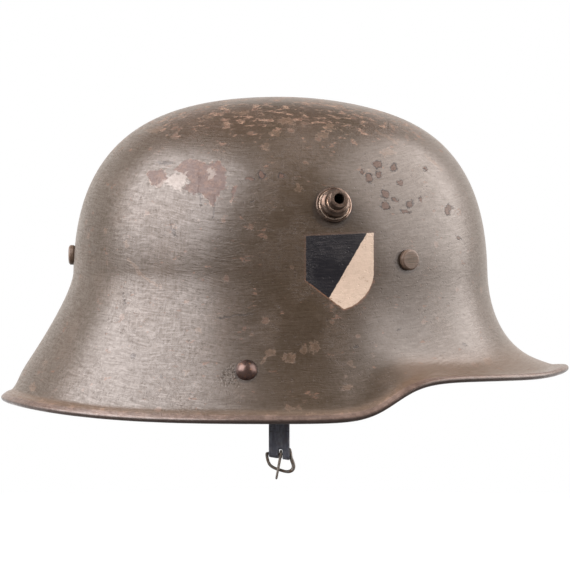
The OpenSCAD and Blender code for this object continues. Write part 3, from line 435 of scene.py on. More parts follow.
class Bench:
    """Gathers the closed surfaces of one piece, with what each point knows about its place."""

    def __init__(self):
        self.points, self.faces, self.facts = [], [], {}

    def add(self, points, faces, **facts):
        start = len(self.points)
        self.points += [tuple(p) for p in points]
        self.faces += [tuple(start + i for i in face) for face in faces]
        for name, values in facts.items():
            told = self.facts.setdefault(name, [])
            told += [0.0] * (start - len(told)) + list(values)

    def grid(self, rings, wrap_rows=False, wrap_columns=True, caps=True, **facts):
        """A surface over rings of points that all have the same count, closed at both ends by a face."""
        rows, columns = len(rings), len(rings[0])
        faces = []
        for i in range(rows if wrap_rows else rows - 1):
            for j in range(columns if wrap_columns else columns - 1):
                k, below = (j + 1) % columns, (i + 1) % rows
                faces.append((i * columns + j, below * columns + j, below * columns + k, i * columns + k))
        if caps and not wrap_rows:
            faces.append(tuple(range(columns)))
            faces.append(tuple((rows - 1) * columns + j for j in reversed(range(columns))))
        self.add([p for ring in rings for p in ring], faces,
                 **{name: np.ravel(values) for name, values in facts.items()})

    def lathe(self, profile, seat, sides=72, closed=False):
        """Turns (radius, height, edge) points round a seat's normal."""
        turn = np.linspace(0, 2 * math.pi, sides, endpoint=False)
        rings = [seat.place(-r * np.cos(turn), r * np.sin(turn), z) for r, z, _ in profile]
        edge = [[e] * sides for _, _, e in profile]
        if closed:
            self.grid(rings, wrap_rows=True, edge=edge)
            return
        first, last = profile[0], profile[-1]
        rings = [ring for ring, (r, _, _) in zip(rings, profile) if r > 0]
        edge = [row for row, (r, _, _) in zip(edge, profile) if r > 0]
        count = len(rings) * sides
        faces = []
        for i in range(0, count - sides, sides):
            for j in range(sides):
                k = (j + 1) % sides
                faces.append((i + j, i + sides + j, i + sides + k, i + k))
        faces += [(count, j, (j + 1) % sides) for j in range(sides)]
        faces += [(count + 1, count - sides + (j + 1) % sides, count - sides + j) for j in range(sides)]
        poles = [seat.place(0.0, 0.0, first[1]), seat.place(0.0, 0.0, last[1])]
        self.add([p for ring in rings for p in ring] + poles, faces, edge=[*np.ravel(edge), 0, 0])

    def tube(self, path, radius, sides=16, closed=False):
        """Sweeps a section along a path. radius is a number, or a function of the ring and its angles."""
        path = np.asarray(path, float)
        count = len(path)
        ahead = np.roll(path, -1, 0) - np.roll(path, 1, 0)
        if not closed:
            ahead[0], ahead[-1] = path[1] - path[0], path[-1] - path[-2]
        ahead = unit(ahead)
        aslant = [0.31, 0.17, 0.93]
        side = np.cross(ahead[0], aslant)
        turn = np.linspace(0, 2 * math.pi, sides, endpoint=False)
        rings, sideways = [], []
        for i in range(count):
            side = unit(side - (side @ ahead[i]) * ahead[i])
            sideways.append(side)
        drift = 0.0
        if closed:
            carried = unit(sideways[-1] - (sideways[-1] @ ahead[0]) * ahead[0])
            drift = math.atan2(np.cross(carried, sideways[0]) @ ahead[0], carried @ sideways[0])
        for i in range(count):
            angle = turn + drift * i / count
            r = radius(i, turn) if callable(radius) else radius
            frame_2d = np.array([sideways[i], np.cross(ahead[i], sideways[i])])
            rings.append(path[i] + stack(r * np.cos(angle), r * np.sin(angle)) @ frame_2d)
        self.grid(rings, wrap_rows=closed)

    def slab(self, top, bottom, used, wrap=False):
        """Two sheets of points with walls round every hole and edge. used tells which cells are there."""
        rows, columns = top.shape[:2]
        cells = columns if wrap else columns - 1
        layer = rows * columns

        def there(i, j):
            if wrap:
                j %= cells
            return 0 <= i < rows - 1 and 0 <= j < cells and used[i][j]

        def at(i, j):
            return i * columns + j % columns

        faces = []
        for i in range(rows - 1):
            for j in range(cells):
                if not there(i, j):
                    continue
                a, b, c, d = at(i, j), at(i, j + 1), at(i + 1, j + 1), at(i + 1, j)
                faces += [(a, b, c, d), (d + layer, c + layer, b + layer, a + layer)]
                for gone, p, q in ((not there(i - 1, j), b, a), (not there(i, j + 1), c, b),
                                   (not there(i + 1, j), d, c), (not there(i, j - 1), a, d)):
                    if gone:
                        faces.append((p, q, q + layer, p + layer))
        kept = sorted({i for face in faces for i in face})
        new = {old: i for i, old in enumerate(kept)}
        points = np.concatenate([top.reshape(-1, 3), bottom.reshape(-1, 3)])[kept]
        self.add(points, [tuple(new[i] for i in face) for face in faces])

    def piece(self, name, look, body, slot, replaces, subdivide=0, weighted=False):
        """Makes the object, gives it its finish, and fixes it to a body."""
        mesh = bpy.data.meshes.new(name)
        mesh.from_pydata(self.points, [], self.faces)
        for fact, values in self.facts.items():
            values = np.array(values + [0.0] * (len(self.points) - len(values)), np.float32)
            mesh.attributes.new(fact, "FLOAT", "POINT").data.foreach_set("value", values)
        mesh.update()
        mesh.shade_smooth()
        mesh.materials.append(finish(look))
        obj = bpy.data.objects.new(name, mesh)
        bpy.context.scene.collection.objects.link(obj)
        if subdivide:
            modifier = obj.modifiers.new("Smooth", "SUBSURF")
            modifier.levels = modifier.render_levels = subdivide
        if weighted:
            obj.modifiers.new("Even shading", "WEIGHTED_NORMAL")
        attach(obj, body)
        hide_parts(*replaces)
        return obj


def drill(obj, holes):
    """Cuts round holes through a piece. holes is a list of seats with a radius."""
    bench, reach = Bench(), 0.006
    for seat, radius in holes:
        bench.lathe([(0, -reach, 0), (radius, -reach, 0), (radius, reach, 0), (0, reach, 0)], seat, 64)
    mesh = bpy.data.meshes.new("drills")
    mesh.from_pydata(bench.points, [], bench.faces)
    cutter = bpy.data.objects.new("drills", mesh)
    bpy.context.scene.collection.objects.link(cutter)
    cut = obj.modifiers.new("Holes", "BOOLEAN")
    cut.object, cut.operation, cut.solver = cutter, "DIFFERENCE", "EXACT"
    graph = bpy.context.evaluated_depsgraph_get()
    whole = bpy.data.meshes.new_from_object(obj.evaluated_get(graph), depsgraph=graph)
    obj.modifiers.remove(cut)
    obj.data = whole
    bpy.data.objects.remove(cutter)
    bpy.data.meshes.remove(mesh)


# Shader work

def calculation(operation, turned=False):
    """A method of Value for one of Python's operators. turned swaps its two terms."""
    def work_out(self, other):
        return self.calc(operation, other, self) if turned else self.calc(operation, self, other)
    return work_out


class Value:
    """One output of a node. Arithmetic on it adds the Math nodes that work it out."""

    def __init__(self, n, socket):
        self.n, self.socket = n, socket

    def part(self, name):
        return Value(self.n, self.socket.node.outputs[name])

    def calc(self, operation, *terms, clamp=False):
        return self.n.node("Math", dict(enumerate(terms)), operation=operation, use_clamp=clamp)

    __add__, __radd__ = calculation("ADD"), calculation("ADD", True)
    __sub__, __rsub__ = calculation("SUBTRACT"), calculation("SUBTRACT", True)
    __mul__, __rmul__ = calculation("MULTIPLY"), calculation("MULTIPLY", True)
    least, most = calculation("MINIMUM"), calculation("MAXIMUM")

    def __neg__(self):
        return self.calc("MULTIPLY", self, -1.0)

    def held(self):
        """The value, held between 0 and 1."""
        return self.calc("ADD", self, 0.0, clamp=True)

    def absolute(self):
        return self.calc("ABSOLUTE", self)

    def above(self, edge, soft):
        """0 below edge and 1 above it, with a smooth change over soft."""
        low, high = edge - soft / 2, edge + soft / 2
        return self.n.node("MapRange", {"Value": self, "From Min": low, "From Max": high},
                           interpolation_type="SMOOTHSTEP")

    def below(self, edge, soft):
        return 1 - self.above(edge, soft)

    def near(self, level, edge, soft):
        """1 within edge of the level, and 0 beyond it."""
        return (self - level).absolute().below(edge, soft)


class Nodes:
    """Adds nodes to the tree of a material or of the world."""

    def __init__(self, owner):
        owner.use_nodes = True
        self.tree = owner.node_tree
        self.tree.nodes.clear()

    def node(self, kind, sockets=None, output=0, **settings):
        made = self.tree.nodes.new("ShaderNode" + kind)
        for key, setting in settings.items():
            setattr(made, key, setting)
        for key, value in (sockets or {}).items():
            if isinstance(value, Value):
                self.tree.links.new(value.socket, made.inputs[key])
            else:
                made.inputs[key].default_value = value
        return Value(self, made.outputs[output]) if made.outputs else None

    def place(self):
        return self.node("TexCoord").part("Object")

    def axes(self, vector):
        split = self.node("SeparateXYZ", {0: vector})
        return [split.part(axis) for axis in "XYZ"]

    def mix(self, factor, first, second):
        """A colour between two colours."""
        ends = [c if isinstance(c, Value) else (*c, 1.0) for c in (first, second)]
        return self.node("Mix", {0: factor, 6: ends[0], 7: ends[1]}, 2, data_type="RGBA", clamp_factor=True)

    def blend(self, factor, first, second):
        """A shader between two shaders."""
        return self.node("MixShader", {0: factor, 1: first, 2: second})

    def vector(self, operation, *terms):
        output = "Value" if operation in ("LENGTH", "DOT_PRODUCT") else "Vector"
        return self.node("VectorMath", dict(enumerate(terms)), output, operation=operation)

    def combine(self, x, y, z):
        return self.node("CombineXYZ", {0: x, 1: y, 2: z})

    def noise(self, at, scale, detail=2.0, rough=0.5):
        return self.node("TexNoise", {"Vector": at, "Scale": scale, "Detail": detail, "Roughness": rough})

    def streaks(self, at, scales, detail=2.0, rough=0.5):
        """Noise with its own scale along each axis."""
        return self.noise(self.vector("MULTIPLY", at, scales), 1.0, detail, rough)

    def cells(self, at, scale, feature="F1"):
        return self.node("TexVoronoi", {"Vector": at, "Scale": scale}, feature=feature)

    def shift(self, at, noise, reach):
        """A place moved by a noise's colour, up to reach along each axis."""
        return self.vector("MULTIPLY_ADD", noise, reach, at)

    def fact(self, name):
        return self.node("Attribute", None, "Fac", attribute_name=name)

    def spots(self, plane, places):
        """Distance to the nearest of a list of (x, z, half width, half height) spots, 1 at a spot's edge."""
        nearest = None
        for x, z, wide, high in places:
            grown = (1000 / wide, 0, 1000 / high)
            away = self.vector("LENGTH", self.vector("MULTIPLY_ADD", plane, grown, (-x / wide, 0, -z / high)))
            nearest = away if nearest is None else nearest.least(away)
        return nearest

    def patches(self, plane, outlines):
        """Depth in millimetres inside the nearest of a list of patches with clockwise (x, z) corners."""
        deepest = None
        for corners in outlines:
            depth = None
            for (ax, az), (bx, bz) in zip(corners, corners[1:] + corners[:1]):
                inward = np.array([bz - az, ax - bx]) / math.hypot(bx - ax, bz - az)
                side = self.vector("DOT_PRODUCT", plane, (inward[0] * 1000, 0, inward[1] * 1000))
                side = side - float(inward @ (ax, az))
                depth = side if depth is None else depth.least(side)
            deepest = depth if deepest is None else deepest.most(depth)
        return deepest

    def stroke(self, plane, start, finish):
        """Distance in millimetres to the line between two (x, z) points."""
        a, b = np.array(start), np.array(finish)
        span = (b - a) / ((b - a) @ (b - a))
        from_start = self.vector("MULTIPLY_ADD", plane, (1000, 0, 1000), (-a[0], 0, -a[1]))
        share_along = self.vector("DOT_PRODUCT", from_start, (span[0], 0, span[1])).held()
        nearest = self.combine(share_along * (b - a)[0], 0.0, share_along * (b - a)[1])
        return self.vector("LENGTH", self.vector("SUBTRACT", from_start, nearest))

    def surface(self, tint, rough, height, metal=0.0, constants=None, coat=None):
        """Ends a material: height is in millimetres."""
        bump = self.node("Bump", {"Strength": 1.0, "Distance": 0.001, "Height": height})
        sockets = {"Base Color": tint, "Roughness": rough, "Metallic": metal, "Normal": bump,
                   **(constants or {})}
        if coat is not None:
            sockets["Coat Weight"] = coat
        self.node("OutputMaterial", {"Surface": self.node("BsdfPrincipled", sockets)})


# Places of the wear on the right side, of the painted glint of the polished flakes and of the painted shadows
# below the fittings, in millimetres: forward, up, half width, half height

BARE_PATCHES = [
    [(-66.8, 59.2), (-58.2, 58.8), (-56.6, 55.2), (-60.6, 50.2), (-66.0, 51.0)],
    [(-53.6, 59.6), (-47.0, 64.2), (-36.6, 62.4), (-34.5, 56.0), (-44.0, 53.0)],
    [(-42.0, 61.6), (-31.0, 62.6), (-26.4, 58.4), (-29.0, 53.0), (-38.0, 54.5)],
    [(-48.5, 49.0), (-42.0, 55.0), (-27.0, 55.2), (-27.2, 49.4), (-33.0, 46.6), (-43.0, 46.4)],
    [(-40.0, 48.0), (-29.0, 48.6), (-33.8, 38.6)],
    [(-24.2, 50.0), (-21.0, 50.2), (-23.4, 42.0)]]
# Polished flakes of the bare place: real bare metal, whose glint is painted as a pale colour
POLISHED_GLINT_PATCHES = [
    [(-58.6, 53.6), (-46.4, 57.6), (-46.8, 53.2), (-50.0, 47.6), (-56.0, 51.6)],
    [(-63.8, 51.0), (-52.0, 56.6), (-51.6, 55.2), (-63.6, 49.8)],
    [(-36.6, 59.4), (-33.2, 59.0), (-31.4, 54.8), (-35.4, 54.0)]]
GREY_CHIPS = [
    (41.5, 56.8, 1.2, 1.5), (45.6, 54.0, 2.2, 2.4), (50.8, 56.0, 1.8, 1.9), (50.0, 61.5, 2.4, 2.2),
    (58.4, 59.8, 1.8, 2.4), (61.5, 52.6, 1.9, 1.3), (54.2, 45.8, 2.5, 2.4), (53.4, 40.0, 2.7, 2.2),
    (59.0, 43.6, 2.2, 1.0), (66.8, 41.2, 2.2, 1.9), (64.0, 37.8, 2.4, 0.9), (72.4, 43.8, 1.0, 1.8),
    (87.2, 38.8, 1.8, 2.6), (93.0, 24.4, 1.4, 1.3), (75.5, 60.0, 1.6, 1.4), (-9.0, 56.0, 2.0, 1.8),
    (1.0, 55.5, 1.7, 1.6), (-14.5, 53.5, 2.2, 1.2)]
TAN_SPOTS = [
    (4.8, -36.5, 3.3, 3.0), (12.6, -32.3, 2.1, 2.0), (18.0, -31.0, 2.5, 2.4), (-3.9, -33.2, 2.6, 1.5),
    (26.0, 80.5, 2.6, 1.6), (3.9, 84.0, 4.2, 1.3), (22.0, 76.5, 3.0, 1.4), (-2.2, 77.5, 2.6, 1.4),
    (-26.8, 82.5, 2.4, 1.5), (-6.7, 70.0, 1.6, 1.8), (-37.0, 87.0, 2.6, 1.1), (-20.0, 89.0, 4.6, 1.0),
    (-65.0, 81.0, 4.2, 1.4), (36.5, -39.8, 1.5, 1.3), (107.0, -39.4, 2.4, 1.8), (-46.6, -43.6, 1.5, 1.4),
    (-41.0, -23.3, 2.4, 1.2), (-78.6, 20.4, 1.2, 1.6), (-90.0, 28.5, 1.5, 1.2), (33.5, -51.2, 2.2, 1.5),
    (-128.0, -53.0, 1.6, 1.8), (-122.0, -40.0, 1.2, 1.1), (10.0, 49.5, 1.6, 2.0), (55.5, 68.0, 4.5, 1.6)]
TAN_STROKES = [
    ((50, 80), (60.5, 73)), ((76, 68), (84, 59.5)), ((-77, 13.6), (-70.5, 6)), ((-70.5, 6), (-61.5, 0)),
    ((-9.0, -38.5), (-2.5, -33)), ((4.0, -60.6), (11.0, -61.8)), ((14.0, -64.6), (25.0, -64.4))]
DARK_MARKS = [
    (-73.6, -35.6, 1.3, 1.2), (-60.0, -46.2, 1.0, 0.9), (61.0, -22.5, 1.6, 0.7), (95.0, -31.0, 1.5, 0.8),
    (39.0, -31.0, 1.3, 0.9), (-14.4, 41.6, 0.9, 0.7), (-58.5, 62.5, 4.5, 0.8), (-53.0, 27.0, 0.9, 1.6)]
DARK_STROKES = [((-30, -16.2), (-14, -14.8)), ((-79.5, -4), (-78.8, -9.5)), ((-55.0, 31.0), (-51.5, 24.0)),
                ((-41.0, 58.0), (-39.5, 40.0)), ((-32.0, 45.0), (-33.5, 33.0))]
PITS = (-24.0, -45.6, 5.6, 4.4)
# Painted shadows: dark crescents just below the vent lug, the front pin and the domed rivet
PAINTED_SHADOWS_BELOW_FITTINGS = [(26.9, 38.8, 9.6, 10.0), (64.7, 12.0, 5.7, 5.9), (-16.6, -43.2, 5.4, 5.5)]


def dimmed(tint, times):
    return tuple(c * times for c in tint)


class Coat:
    """Colour, roughness, height, metal and gloss of a surface, to which further layers are added."""

    def __init__(self, n, tint, rough, height, metal=0.0, gloss=0.0):
        self.n, self.tint, self.rough, self.height, self.metal = n, tint, rough, height, metal
        self.gloss = gloss

    def lay(self, where, tint=None, rough=0.0, rise=0.0, metal=0.0, dull=0.0):
        """Adds a layer where a mask is 1. rough, rise and metal are what it adds to those under it, and dull
        is the share of the gloss that it takes away."""
        if dull:
            self.gloss = self.gloss * (1 - where * dull)
        if tint is not None:
            self.tint = self.n.mix(where, self.tint, tint)
        if rough:
            self.rough = self.rough + where * rough
        if rise:
            self.height = self.height + where * rise
        if metal:
            self.metal = where * metal + self.metal


class ShellGround:
    """What the shell's paint and wear are worked out from: the place on the shell, and shared noises."""

    def __init__(self, n):
        self.n = n
        self.place = place = n.place()
        self.x, self.y, self.z = n.axes(place)
        self.facing_up = n.axes(n.node("TexCoord").part("Normal"))[2]
        self.down, self.inside = n.fact("down"), n.fact("inside")
        self.outside = 1 - self.inside
        self.right_side = (-self.y).above(0.012, 0.02) * self.outside
        self.rim_gap = n.fact("rim_gap") * 1000
        half = (0.5, 0.5, 0.5)
        self.ragged = n.vector("SUBTRACT", n.noise(place, 420, 4, 0.7).part("Color"), half)
        loose = n.vector("SUBTRACT", n.noise(place, 110, 2, 0.5).part("Color"), half)
        self.plane = n.shift(n.shift(place, self.ragged, (0.0042, 0, 0.0042)), loose, (0.004, 0, 0.004))
        self.crumbs = n.noise(place, 380, 4, 0.65)
        self.patches = n.noise(place, 95, 3, 0.6)
        self.crown = self.z.above(0.076, 0.030) * self.outside


def brushed_paint(n, ground, finishes):
    """Paint put on by brush, before any wear: fine strokes round the shell, lumps and thin places."""
    place, x, y, down = ground.place, ground.x, ground.y, ground.down
    bend = (n.noise(place, 24, 3) - 0.5) * 14
    fine = n.noise(n.combine(x * 130, y * 130, down * 1250 + bend), 1.0, 4, 0.66)
    broad = n.noise(n.combine(x * 50, y * 50, down * 430 + bend), 1.0, 3, 0.55)
    upright = n.noise(n.combine(x * 900, y * 900, down * 90), 1.0, 3, 0.6)
    lumps, grit = n.noise(place, 560, 4, 0.66), n.noise(place, 1500, 2, 0.6)
    mottle, cloud = n.noise(place, 40, 4, 0.6), n.noise(place, 11, 2, 0.5)
    crossed = (mottle * 0.6 + cloud * 0.6 - x * 2.2).above(0.66, 0.16)
    tint = n.mix(cloud.above(0.5, 0.5), finishes.paint_deep, finishes.paint)
    tint = n.mix(mottle.above(0.56, 0.30) * 0.55, tint, finishes.paint_thin)
    coat = Coat(n, tint, 0.35 + (mottle - 0.5) * 0.26 + (lumps - 0.5) * 0.22, None)
    strength = 1.15 - x.above(0.0, 0.10) * 0.5
    coat.height = (fine * 0.185 + lumps * 0.105 + upright * crossed * 0.12) * strength
    coat.height = coat.height + broad * 0.095 + grit * 0.035 + mottle * 0.09
    shine = (fine - 0.5) * 1.7 + (lumps - 0.5) * 1.2 + (upright - 0.5) * crossed * 0.9
    coat.gloss = (0.60 + shine * strength).held()
    hollows = (lumps * 0.5 + fine * 0.5).below(0.44, 0.12)
    coat.lay(hollows * 0.6, finishes.paint_deep, 0.05)
    coat.lay((fine * 0.6 + lumps * 0.4).above(0.60, 0.12) * 0.35, finishes.paint_thin)
    cracks = (fine + lumps * 0.3).near(0.65, 0.010, 0.012) * (mottle + crossed * 0.1).above(0.54, 0.12)
    coat.lay(cracks * 0.45, finishes.crack, 0.15, -0.05)
    return coat


def worn_shell(n, ground, finishes, coat):
    """Chips and rubbed places: scattered ones, those of the crown, and those of the right side."""
    place, plane, crumbs, patches = ground.place, ground.plane, ground.crumbs, ground.patches
    crown, right_side, outside = ground.crown, ground.right_side, ground.outside
    layer = n.mix(patches.above(0.52, 0.3), finishes.primer_dark, finishes.primer)
    layer = n.mix(crumbs.above(0.60, 0.14) * 0.5, layer, finishes.rust)

    # Crown, rubbed where the helmet was set down and handled
    rubbed = n.noise(place, 60, 4, 0.62).above(0.46, 0.24) * crown
    coat.lay(rubbed * 0.40, finishes.rubbed, 0.08)
    flat_place = n.vector("MULTIPLY", place, (0.55, 0.8, 1.4))
    flakes = n.noise(flat_place, 360, 4, 0.6) * 0.62 + patches * 0.30 + crown * 0.062
    flaked = flakes.above(0.575, 0.026) * outside
    flake_edge = flakes.near(0.563, 0.010, 0.010) * outside * crown.most(0.2)
    coat.lay(flaked * 0.55, layer, 0.14, -0.05, dull=0.8)
    coat.lay(flaked * crown * crumbs.above(0.50, 0.16) * 0.5, finishes.crown_flake)
    coat.lay(flake_edge * 0.22, finishes.chip_edge, 0.0, 0.02)

    # Scattered pits and specks
    pores = n.cells(place, 620)
    chance = n.node("SeparateColor", {0: pores.part("Color")})
    pore = pores.part("Distance").below(0.30, 0.16) * (chance.part("Red") + patches * 0.5).above(1.10, 0.04)
    coat.lay(pore * outside * 0.7, finishes.pore, 0.10, -0.10)
    specks = n.cells(n.shift(place, ground.ragged, (0.004, 0.004, 0.004)), 150)
    chance = n.node("SeparateColor", {0: specks.part("Color")})
    rare = (chance.part("Red") + crown * 0.24 + patches * 0.40).above(1.13, 0.02) * outside
    away = specks.part("Distance") - chance.part("Green") * 0.16
    coat.lay(away.below(0.14, 0.07) * rare * 0.38, finishes.primer, 0.12, -0.04)
    coat.lay(away.near(0.17, 0.03, 0.03) * rare * 0.20, finishes.chip_edge, 0.0, 0.02)

    # Tan spots and strokes, each with a faint pale ring
    tan = n.spots(n.shift(plane, ground.ragged, (0.004, 0, 0.0025)), TAN_SPOTS)
    for start, finish in TAN_STROKES:
        tan = tan.least(n.stroke(plane, start, finish) * 0.9 + crumbs * 0.9)
    spotted = tan.below(1.0, 0.22) * right_side
    coat.lay(spotted * (0.14 + crumbs.above(0.5, 0.3) * 0.22), finishes.tan, 0.08, -0.04, dull=0.8)
    coat.lay(tan.near(1.0, 0.10, 0.14) * right_side * 0.24, finishes.chip_edge, 0.0, 0.03)
    coat.lay(tan.near(0.74, 0.08, 0.12) * right_side * 0.25, finishes.primer_dark)

    # Chips that keep the paint's colour but have lost its gloss, with dark broken edges
    chips = n.spots(plane, GREY_CHIPS)
    coat.lay(chips.below(0.88, 0.2) * right_side * 0.60, finishes.primer_dark, 0.40, -0.05, dull=1.0)
    coat.lay(chips.near(0.92, 0.16, 0.14) * (crumbs + 0.25).above(0.68, 0.2) * right_side * 0.95,
             finishes.chip_dark, 0.25, -0.10)
    marks = n.spots(plane, DARK_MARKS)
    for start, finish in DARK_STROKES:
        marks = marks.least(n.stroke(plane, start, finish) * 1.8 + crumbs * 0.9)
    coat.lay(marks.below(1.0, 0.5) * right_side * 0.85, finishes.dirt_and_shade, 0.2, -0.14)
    pits = n.spots(plane, [PITS]).below(1.0, 0.9) * right_side * n.cells(place, 700).below(0.42, 0.3)
    coat.lay(pits, None, 0.0, -0.35)
    # Painted shadow just below the fittings, in the colour of the dark marks
    dirt_and_shade = n.spots(place, PAINTED_SHADOWS_BELOW_FITTINGS).below(1.06, 0.22) * right_side
    coat.lay(dirt_and_shade * 0.65, finishes.dirt_and_shade, 0.15)

    # Large bare place behind the lug
    bare = n.patches(plane, BARE_PATCHES) + (crumbs - 0.5) * 2.2
    layer = n.mix(crumbs.above(0.54, 0.2) * 0.5, finishes.bare_layer, finishes.primer)
    coat.lay(bare.above(0.0, 0.35) * right_side * 0.85, layer, 0.18, -0.07, dull=0.75)
    broken = (bare + 0.10).absolute().below(0.22, 0.25) * (patches + crumbs * 0.5).above(0.80, 0.16)
    coat.lay(broken * right_side * 0.6, finishes.chip_edge, 0.0, 0.05)
    # Polished flakes: their glint is painted as a pale, slightly smoother colour instead of a metal
    # reflection
    shine = n.patches(plane, POLISHED_GLINT_PATCHES) + (crumbs - 0.5) * 5.0
    coat.lay(shine.above(0.0, 0.8) * right_side * 0.65, finishes.bright, -0.06, 0.03)


def painted_shield(n, ground, finishes, coat):
    """Shield with upright sides, a straight lower left edge and a round lower right one, in two fields.
    Its measures are in millimetres forward (sx) and up (sz)."""
    x, y, z, crumbs, right_side = ground.x, ground.y, ground.z, ground.crumbs, ground.right_side
    in_mm = n.vector("MULTIPLY", ground.place, (1000, 0, 1000))
    sx, _, sz = n.axes(n.shift(in_mm, ground.ragged, (0.9, 0, 0.9)))
    round_off = 20.3 - n.vector("LENGTH", n.combine(sx - 27.5, 0.0, sz - 7.5))
    above_left = ((sz - 2.2) + (sx - 13.6) * 0.76) * 0.796
    field = (sx - 13.5).least(47.7 - sx).least(24.6 + (sx - 13.35) * 0.05 - sz).least(above_left)
    field = field.least(round_off.most(sz - 4.5))
    split = ((sx - 24.6) * 34 - (sz + 7.4) * 20) * 0.02538
    scuffs = n.noise(n.combine(x * 130, y * 130, z * 1300), 1.0, 3, 0.6)
    dark = n.mix(scuffs.above(0.60, 0.2) * 0.40, finishes.shield_dark, finishes.shield_scuff)
    pale = finishes.shield_pale
    pale = n.mix(crumbs.above(0.53, 0.24) * 0.5, pale, dimmed(pale, 0.80))
    pale = n.mix(crumbs.above(0.68, 0.05) * 0.8, pale, finishes.shield_stain)
    worn = (0.25 - sz * 0.05 + crumbs * 1.2).above(0.75, 0.3)
    edge_wear = (field + 0.25).absolute().below(0.26, 0.36) * worn
    coat.lay((field + 0.5).absolute().below(0.5, 0.6) * right_side * 0.30, finishes.primer_dark)
    coat.lay(edge_wear * right_side * 0.65, finishes.rust)
    shield = field.above(0.0, 0.25) * right_side
    coat.lay(shield, n.mix(split.above(0.0, 0.3), dark, pale), 0.04, 0.05)
    return shield


def rolled_edge(n, ground, finishes, coat):
    """The rolled edge: worn brown and smooth, with stained and chipped paint just above it, painted light on
    the upward faces, a painted highlight line along its top and painted shade under it.
    """
    gap, crumbs, patches, outside = ground.rim_gap, ground.crumbs, ground.patches, ground.outside
    # Painted light from above: faces that look up, low on the shell, are lightened with the stain colour
    painted_top_light = ground.facing_up.above(0.66, 0.36) * ground.z.below(-0.010, 0.03) * outside
    coat.lay(painted_top_light * 0.42, finishes.edge_stain_and_top_light, 0.04)
    stained = (gap - patches * 9).below(-1.5, 4.0) * outside
    coat.lay(stained * 0.28, finishes.edge_stain_and_top_light, 0.03)
    chipped = (gap - patches * 14 - crumbs * 5).below(-8.6, 0.8) * outside
    coat.lay(chipped * 0.32, finishes.primer, 0.06, -0.05, dull=0.5)
    coat.lay((chipped * 4).near(2, 0.9, 1.2) * 0.18 * outside, finishes.chip_edge, 0.0, 0.02)
    rusty = chipped * (crumbs * 0.6 + patches * 0.5).above(0.64, 0.06)
    coat.lay(rusty * 0.65, finishes.tan, 0.08)
    bead = gap.below(2.3, 1.6) * outside
    worn = (crumbs * 0.5 + patches * 0.5).above(0.52, 0.14)
    coat.lay(bead * 0.80, n.mix(worn, finishes.edge_dark, finishes.edge_worn), -0.04, 0.14, 0.30)
    # Painted shade: the lower half of the rolled edge, where it faces down, is darkened
    coat.lay(bead * ground.facing_up.below(0.34, 0.8) * 0.85, finishes.edge_underside_painted_shade, 0.10)
    # Painted highlight: a broken pale line along the top of the rolled edge
    painted_highlight_line = gap.near(2.2, 0.30, 0.40) * patches.above(0.46, 0.20)
    coat.lay(painted_highlight_line * outside * 0.22, finishes.chip_edge, -0.05)


def field_paint(n, finishes):
    ground = ShellGround(n)
    coat = brushed_paint(n, ground, finishes)
    worn_shell(n, ground, finishes, coat)
    shield = painted_shield(n, ground, finishes, coat)
    rolled_edge(n, ground, finishes, coat)

    # Inside: thinner, duller paint with more rust in it
    lining = n.mix(ground.patches.above(0.55, 0.2) * 0.6, finishes.inside_paint, finishes.primer_dark)
    lining = n.mix(ground.crumbs.above(0.64, 0.08) * 0.8, lining, finishes.rust)
    coat.lay(ground.inside, lining, 0.18, dull=0.8)
    gloss = coat.gloss * (1 - shield)
    n.surface(coat.tint, coat.rough.held(), coat.height, coat.metal,
              {"Specular IOR Level": 0.36, "Coat Roughness": 0.29}, gloss)


def pin_paint(n, finishes):
    place = n.place()
    edge, crumbs = n.fact("edge"), n.noise(place, 420, 4, 0.65)
    brushed = n.streaks(place, (150, 150, 1500), 2)
    tint = n.mix(brushed.above(0.5, 0.4), finishes.paint, dimmed(finishes.paint_thin, 1.5))
    coat = Coat(n, tint, 0.42, crumbs * 0.10 + brushed * 0.07)
    worn = (edge.most(0.0) * 0.42 + crumbs).above(0.80, 0.10)
    coat.lay(worn * 0.9, finishes.steel, -0.06, -0.04, 0.5)
    coat.lay((-edge).above(0.4, 0.6) * 0.7, finishes.steel_dark)
    n.surface(coat.tint, coat.rough, coat.height, coat.metal)


def worn_steel(n, deep, plain, finishes, smooth=0.12, metal=0.85):
    """Steel that has browned: rust in its hollows, and edges rubbed bright, their paleness partly a painted
    highlight.
    """
    place = n.place()
    edge, crumbs, cloud = n.fact("edge"), n.noise(place, 600, 4, 0.6), n.noise(place, 160, 3, 0.5)
    tint = n.mix(cloud.above(0.46, 0.35), deep, plain)
    coat = Coat(n, tint, smooth + crumbs * 0.20, crumbs * 0.06 + cloud * 0.08, metal)
    coat.lay(crumbs.above(0.60, 0.12) * 0.6, finishes.rust, 0.08)
    # Rubbed edges, also made pale to stand in for their highlights: partly painted highlight
    coat.lay((edge.most(0.0) * 0.5 + crumbs * 0.8).above(0.62, 0.16) * 0.8, finishes.edge_bright, -0.08)
    coat.lay((-edge).above(0.35, 0.6) * 0.8, finishes.steel_hollow, 0.1)
    n.surface(coat.tint, coat.rough, coat.height, coat.metal)


def bare_steel(n, finishes):
    worn_steel(n, finishes.steel_dark, finishes.steel, finishes)


def browned_steel(n, finishes):
    worn_steel(n, finishes.browned_deep, finishes.browned, finishes, 0.20, 0.6)


